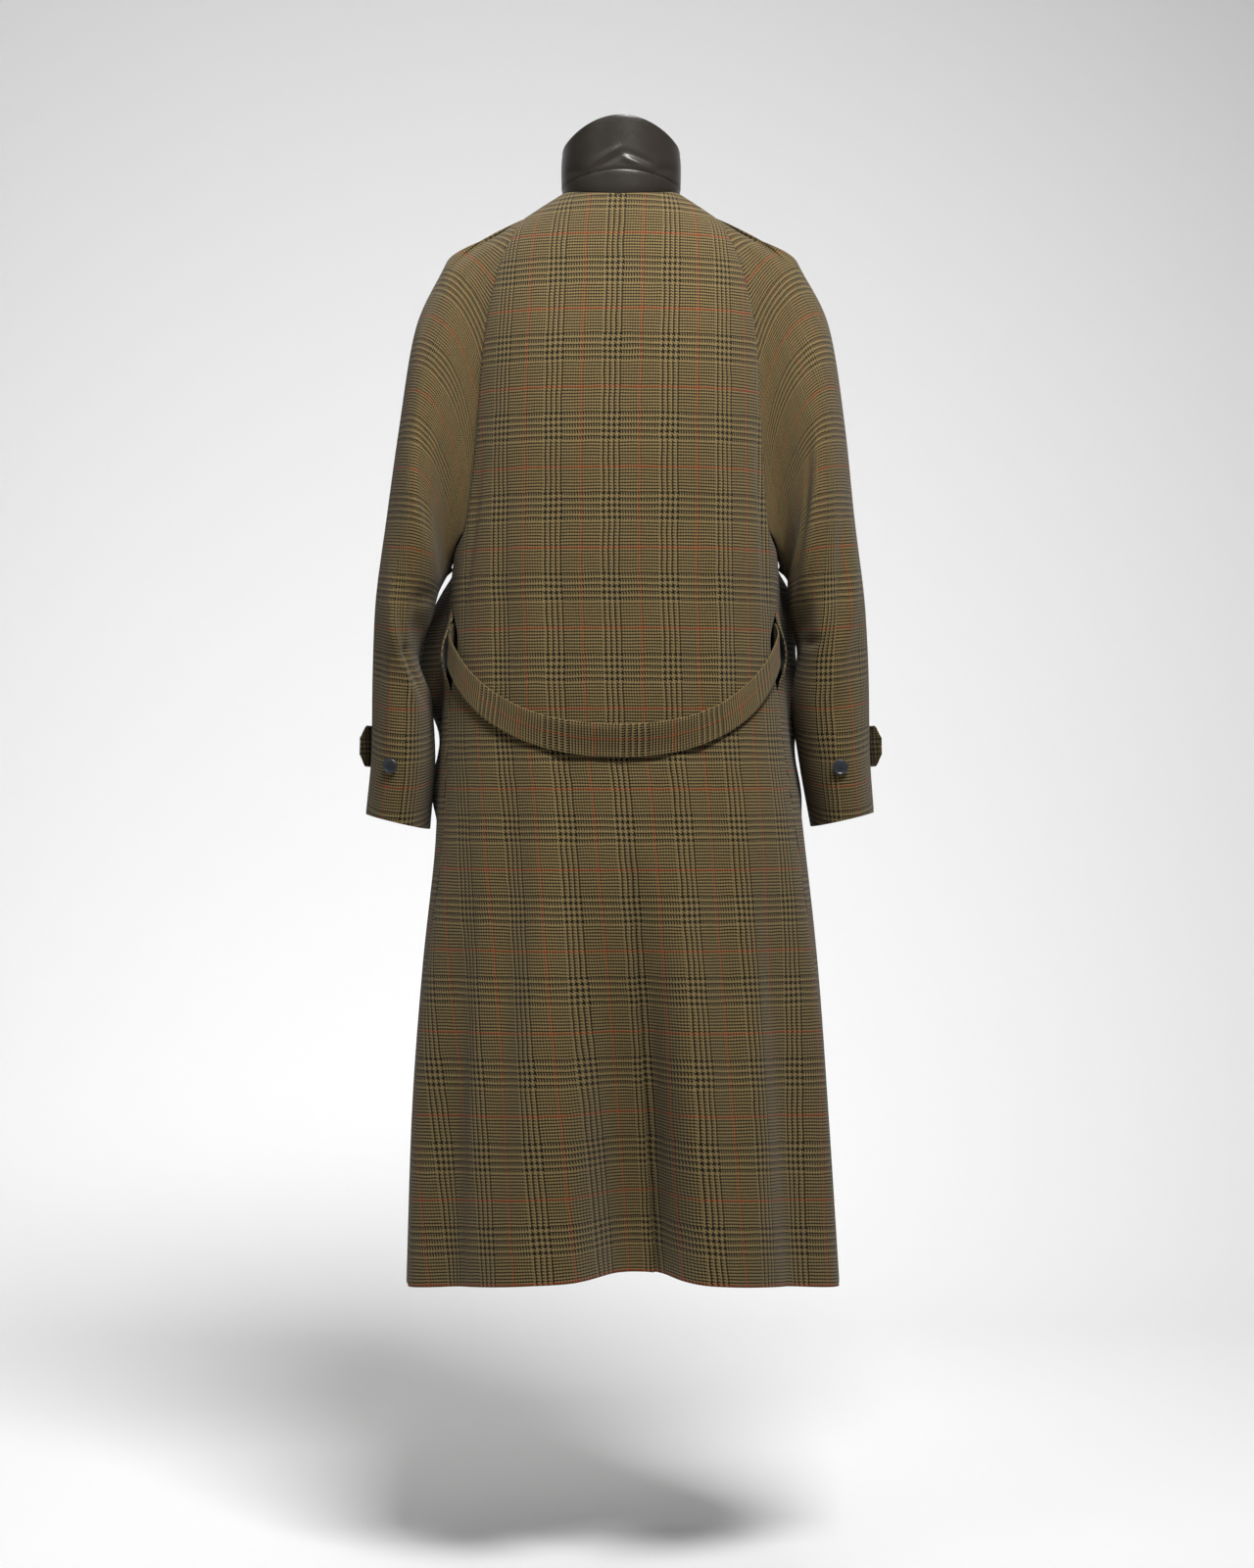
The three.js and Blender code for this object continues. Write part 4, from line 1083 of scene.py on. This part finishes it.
def button_mesh():
    profile = [(0, 0.6), (2.6, 0.6), (2.6, 1.3), (6.6, 1.5), (8.2, 2.0), (8.85, 2.9), (9.0, 3.7), (8.8, 4.6),
               (8.2, 5.15), (7.6, 5.3), (6.9, 5.1), (6.2, 4.6), (5.4, 4.35), (3.0, 4.25), (0, 4.25)]
    turns = BUTTON_TURNS
    places, faces = [], []
    for radius, height in profile:
        for k in range(turns):
            turn = 2 * math.pi * k / turns
            places.append((radius * math.cos(turn), radius * math.sin(turn), height))
    for j in range(len(profile) - 1):
        for k in range(turns):
            ahead = (k + 1) % turns
            faces.append((j * turns + k, j * turns + ahead, (j + 1) * turns + ahead, (j + 1) * turns + k))
    mesh = bpy.data.meshes.new("button_disc")
    mesh.from_pydata(places, [], faces)
    disc = placed("button_disc", mesh)
    weld = disc.modifiers.new("weld", "WELD")
    weld.merge_threshold = 0.01
    n = HOLE_SIDES
    turned = [2 * math.pi * k / n for k in range(n)]
    for x in (-HOLE_PLACE, HOLE_PLACE):
        for y in (-HOLE_PLACE, HOLE_PLACE):
            drill = bpy.data.meshes.new("drill")
            places = [(x + HOLE_RADIUS * math.cos(turn), y + HOLE_RADIUS * math.sin(turn), height)
                      for height in (HOLE_BOTTOM, HOLE_TOP) for turn in turned]
            drill.from_pydata(places, [], [tuple(range(n - 1, -1, -1)), tuple(range(n, 2 * n))]
                              + [(k, (k + 1) % n, n + (k + 1) % n, n + k) for k in range(n)])
            cutter = placed("drill", drill)
            cut = disc.modifiers.new("hole", "BOOLEAN")
            cut.operation = "DIFFERENCE"
            cut.object = cutter
            cut.solver = "EXACT"
    made = made_mesh(disc)
    for cutter in [o for o in bpy.data.objects if o.name.startswith("drill")]:
        bpy.data.objects.remove(cutter)
    return made


BUTTON = button_mesh()


def add_button(name, node, seat, outward_to):
    mesh = BUTTON.copy()
    direction = Vector(outward_to).normalized()
    turn = Vector((0, 0, 1)).rotation_difference(direction).to_matrix().to_4x4()
    place = Matrix.Translation((Vector(seat) + direction * BUTTON_SEAT) * MM) @ turn @ Matrix.Scale(MM, 4)
    mesh.transform(place)
    piece = shown(name, mesh, [HORN])
    finished(piece, "horn", node)
    strands = []
    for crossing in (1, -1):
        strands.append([place @ Vector((mix(-HOLE_PLACE, HOLE_PLACE, t),
                                        mix(-HOLE_PLACE, HOLE_PLACE, t) * crossing,
                                        3.9 + 0.9 * math.sin(math.pi * t)))
                        for t in np.linspace(0, 1, 9)])
    thread = tube(name.replace("button", "button_thread"), strands, THREAD_RADIUS * MM, HORN_THREAD)
    finished(thread, "horn")


def tube(name, lines, radius, material):
    curve = bpy.data.curves.new(name, "CURVE")
    curve.dimensions = "3D"
    curve.bevel_depth = radius
    curve.bevel_resolution = 2
    for line in lines:
        spline = curve.splines.new("POLY")
        spline.points.add(len(line) - 1)
        for point, place in zip(spline.points, line):
            point.co = (*place, 1)
    return shown(name, smoothed(made_mesh(placed(name, curve))), [material])


for word, side in SIDE.items():
    rows = SLEEVES[word]
    angle = np.float64(CUFF_BUTTON_ANGLE[word])
    ring = np.float64(CUFF_BUTTON_RING)
    add_button(f"{word}_cuff_button", f"cuff_button_{word}", arm_point(rows, side, angle, ring),
               arm_normal(rows, side, angle, ring))
    tab_angle = TAB_LINE["angle"][TAB_BUTTON]
    add_button(f"{word}_tab_button", f"tab_button_{word}",
               tab_point(rows, side, np.float64(TAB_BUTTON), np.float64(0)),
               arm_normal(rows, side, tab_angle, np.float64(TAB_RING)))
for i, height in enumerate(FRONT_BUTTON_HEIGHTS, 1):
    ring = ring_at_height(height)
    add_button(f"front_button_horn_{i}", f"front_button_{i}", body_point(np.float64(180), ring),
               body_normal(np.float64(180), ring))


# Stitches, made by a node tree that lays short threads along a line

def stitch_tree():
    tree = bpy.data.node_groups.new("stitch_row", "GeometryNodeTree")
    for name, kind, direction in (("Line", "NodeSocketGeometry", "INPUT"),
                                  ("Pitch", "NodeSocketFloat", "INPUT"),
                                  ("Thread Length", "NodeSocketFloat", "INPUT"),
                                  ("Thread Radius", "NodeSocketFloat", "INPUT"),
                                  ("Thread", "NodeSocketMaterial", "INPUT"),
                                  ("Stitches", "NodeSocketGeometry", "OUTPUT")):
        tree.interface.new_socket(name, in_out=direction, socket_type=kind)
    inputs = tree.nodes.new("NodeGroupInput")
    outputs = tree.nodes.new("NodeGroupOutput")

    def add(kind, links, settings=None):
        node = tree.nodes.new(kind)
        for name, value in (settings or {}).items():
            setattr(node, name, value)
        for key, value in links.items():
            if isinstance(value, bpy.types.NodeSocket):
                tree.links.new(value, node.inputs[key])
            else:
                node.inputs[key].default_value = value
        return node

    given = inputs.outputs
    to_curve = add("GeometryNodeMeshToCurve", {"Mesh": given["Line"]})
    places = add("GeometryNodeCurveToPoints", {"Curve": to_curve.outputs["Curve"],
                                               "Length": given["Pitch"]}, {"mode": "LENGTH"})
    ball = add("GeometryNodeMeshUVSphere", {"Segments": 6, "Rings": 4, "Radius": 1.0})
    size = add("ShaderNodeCombineXYZ", {0: given["Thread Radius"], 1: given["Thread Radius"],
                                        2: given["Thread Length"]})
    laid = add("GeometryNodeInstanceOnPoints", {"Points": places.outputs["Points"],
                                                "Instance": ball.outputs["Mesh"],
                                                "Rotation": places.outputs["Rotation"],
                                                "Scale": size.outputs[0]})
    real = add("GeometryNodeRealizeInstances", {"Geometry": laid.outputs["Instances"]})
    painted = add("GeometryNodeSetMaterial", {"Geometry": real.outputs["Geometry"],
                                              "Material": given["Thread"]})
    tree.links.new(painted.outputs["Geometry"], outputs.inputs["Stitches"])
    return tree


STITCH_TREE = stitch_tree()


def stitch(name, lines, slot_name, thread, pitch=3.4, length=1.25, radius=0.24):
    """Lays stitches along lines of points given in millimetres."""
    places, edges = [], []
    for line in lines:
        start = len(places)
        places.extend((np.asarray(line) * MM).tolist())
        edges.extend((start + i, start + i + 1) for i in range(len(line) - 1))
    mesh = bpy.data.meshes.new(name)
    mesh.from_pydata(places, edges, [])
    holder = placed(name, mesh)
    modifier = holder.modifiers.new("stitches", "NODES")
    modifier.node_group = STITCH_TREE
    sockets = {item.name: item.identifier for item in STITCH_TREE.interface.items_tree
               if item.in_out == "INPUT"}
    modifier[sockets["Pitch"]] = pitch * MM
    modifier[sockets["Thread Length"]] = length * MM
    modifier[sockets["Thread Radius"]] = radius * MM
    modifier[sockets["Thread"]] = thread
    return finished(shown(name, smoothed(made_mesh(holder)), [thread]), slot_name)


def inset(grid, part, out, middle=(0, 0)):
    """A line of points along part of a grid, just off its cloth."""
    return grid[part] + grid_normals(grid, middle)[part] * out


STITCH_OUT = 0.1
LEATHER_STITCH_OUT = 0.12
stitch("belt_edge_stitches", [inset(BELT, row, STITCH_OUT) for row in (5, -6)], "tweed", TWEED_THREAD)
seam_lines = [inset(FALL, -6, LEATHER_STITCH_OUT)[40:-40], inset(STAND, 5, LEATHER_STITCH_OUT)]
stitch("collar_seam_stitches", seam_lines, "leather", LEATHER_THREAD, 3.0, 1.1, 0.28)
edge_lines = [inset(FALL, 6, LEATHER_STITCH_OUT)]
stitch("collar_edge_stitches", edge_lines, "leather", LEATHER_THREAD, 3.2, 1.2, 0.26)
for word in SIDE:
    lines = [inset(TABS[word], part, STITCH_OUT, ARM_MIDDLE[word])
             for part in (np.s_[6, 3:-6], np.s_[-7, 3:-6], np.s_[6:-6, -7])]
    stitch(f"{word}_tab_stitches", lines, "tweed", TWEED_THREAD)


# Floor, light and camera

FLOOR_Z = -1.57
# Millimetres in one pixel of the photo, in the plane of the side seams.
PIXEL = 1.13
PHOTO_HEIGHT = 1600
CAMERA = Vector((-0.0068, 3.6, -0.6697))
SENSOR_HEIGHT = 24.0


def stage_floor():
    profile = [(6.0, 0.0), (-1.6, 0.0)]
    profile += [(-1.6 - 1.2 * math.sin(t), 1.2 - 1.2 * math.cos(t))
                for t in np.linspace(0, math.pi / 2, 16)[1:]]
    profile += [(-2.8, 5.0)]
    places = [(x, y, FLOOR_Z + z) for y, z in profile for x in (-6.0, 6.0)]
    faces = [(2 * i, 2 * i + 1, 2 * i + 3, 2 * i + 2) for i in range(len(profile) - 1)]
    mesh = bpy.data.meshes.new("studio_floor")
    mesh.from_pydata(places, [], faces)
    f = Finish("studio_paper", Roughness=0.9, Base_Color=(0.97, 0.97, 0.97, 1), Specular_IOR_Level=0.1)
    shown("studio_floor", smoothed(mesh), [f.material])


def area_light(name, place, aim, size, power, spread=180.0):
    light = bpy.data.lights.new(name, "AREA")
    light.shape = "RECTANGLE"
    light.size, light.size_y = size
    light.energy = power
    light.spread = math.radians(spread)
    lamp = placed(name, light)
    lamp.location = place
    lamp.rotation_euler = (Vector(aim) - Vector(place)).to_track_quat("-Z", "Y").to_euler()


stage_floor()
area_light("soft_key", (-0.7, 2.4, 1.9), (0, 0, 0.1), (1.5, 0.9), 49, 84.0)
area_light("soft_fill", (2.4, 2.4, 1.2), (0, 0, -0.3), (1.4, 1.4), 12)
area_light("top_light", (0, 0.3, 1.9), (0, 0, -0.2), (1.8, 1.4), 22)
area_light("front_fill", (0.6, -3.2, 0.9), (0, 0, -0.5), (2.4, 2.0), 20)

world = bpy.data.worlds.new("studio")
world.use_nodes = True
world.node_tree.nodes["Background"].inputs["Color"].default_value = (1, 1, 1, 1)
world.node_tree.nodes["Background"].inputs["Strength"].default_value = 0.12
bpy.context.scene.world = world
bpy.context.scene.view_settings.view_transform = "Standard"

camera_data = bpy.data.cameras.new("photo_camera")
camera_data.sensor_fit = "VERTICAL"
camera_data.sensor_height = SENSOR_HEIGHT
camera_data.lens = SENSOR_HEIGHT * CAMERA.y / (PIXEL * PHOTO_HEIGHT * MM)
camera = placed("photo_camera", camera_data)
camera.location = CAMERA
camera.rotation_euler = (math.pi / 2, 0, math.pi)
bpy.context.scene.camera = camera
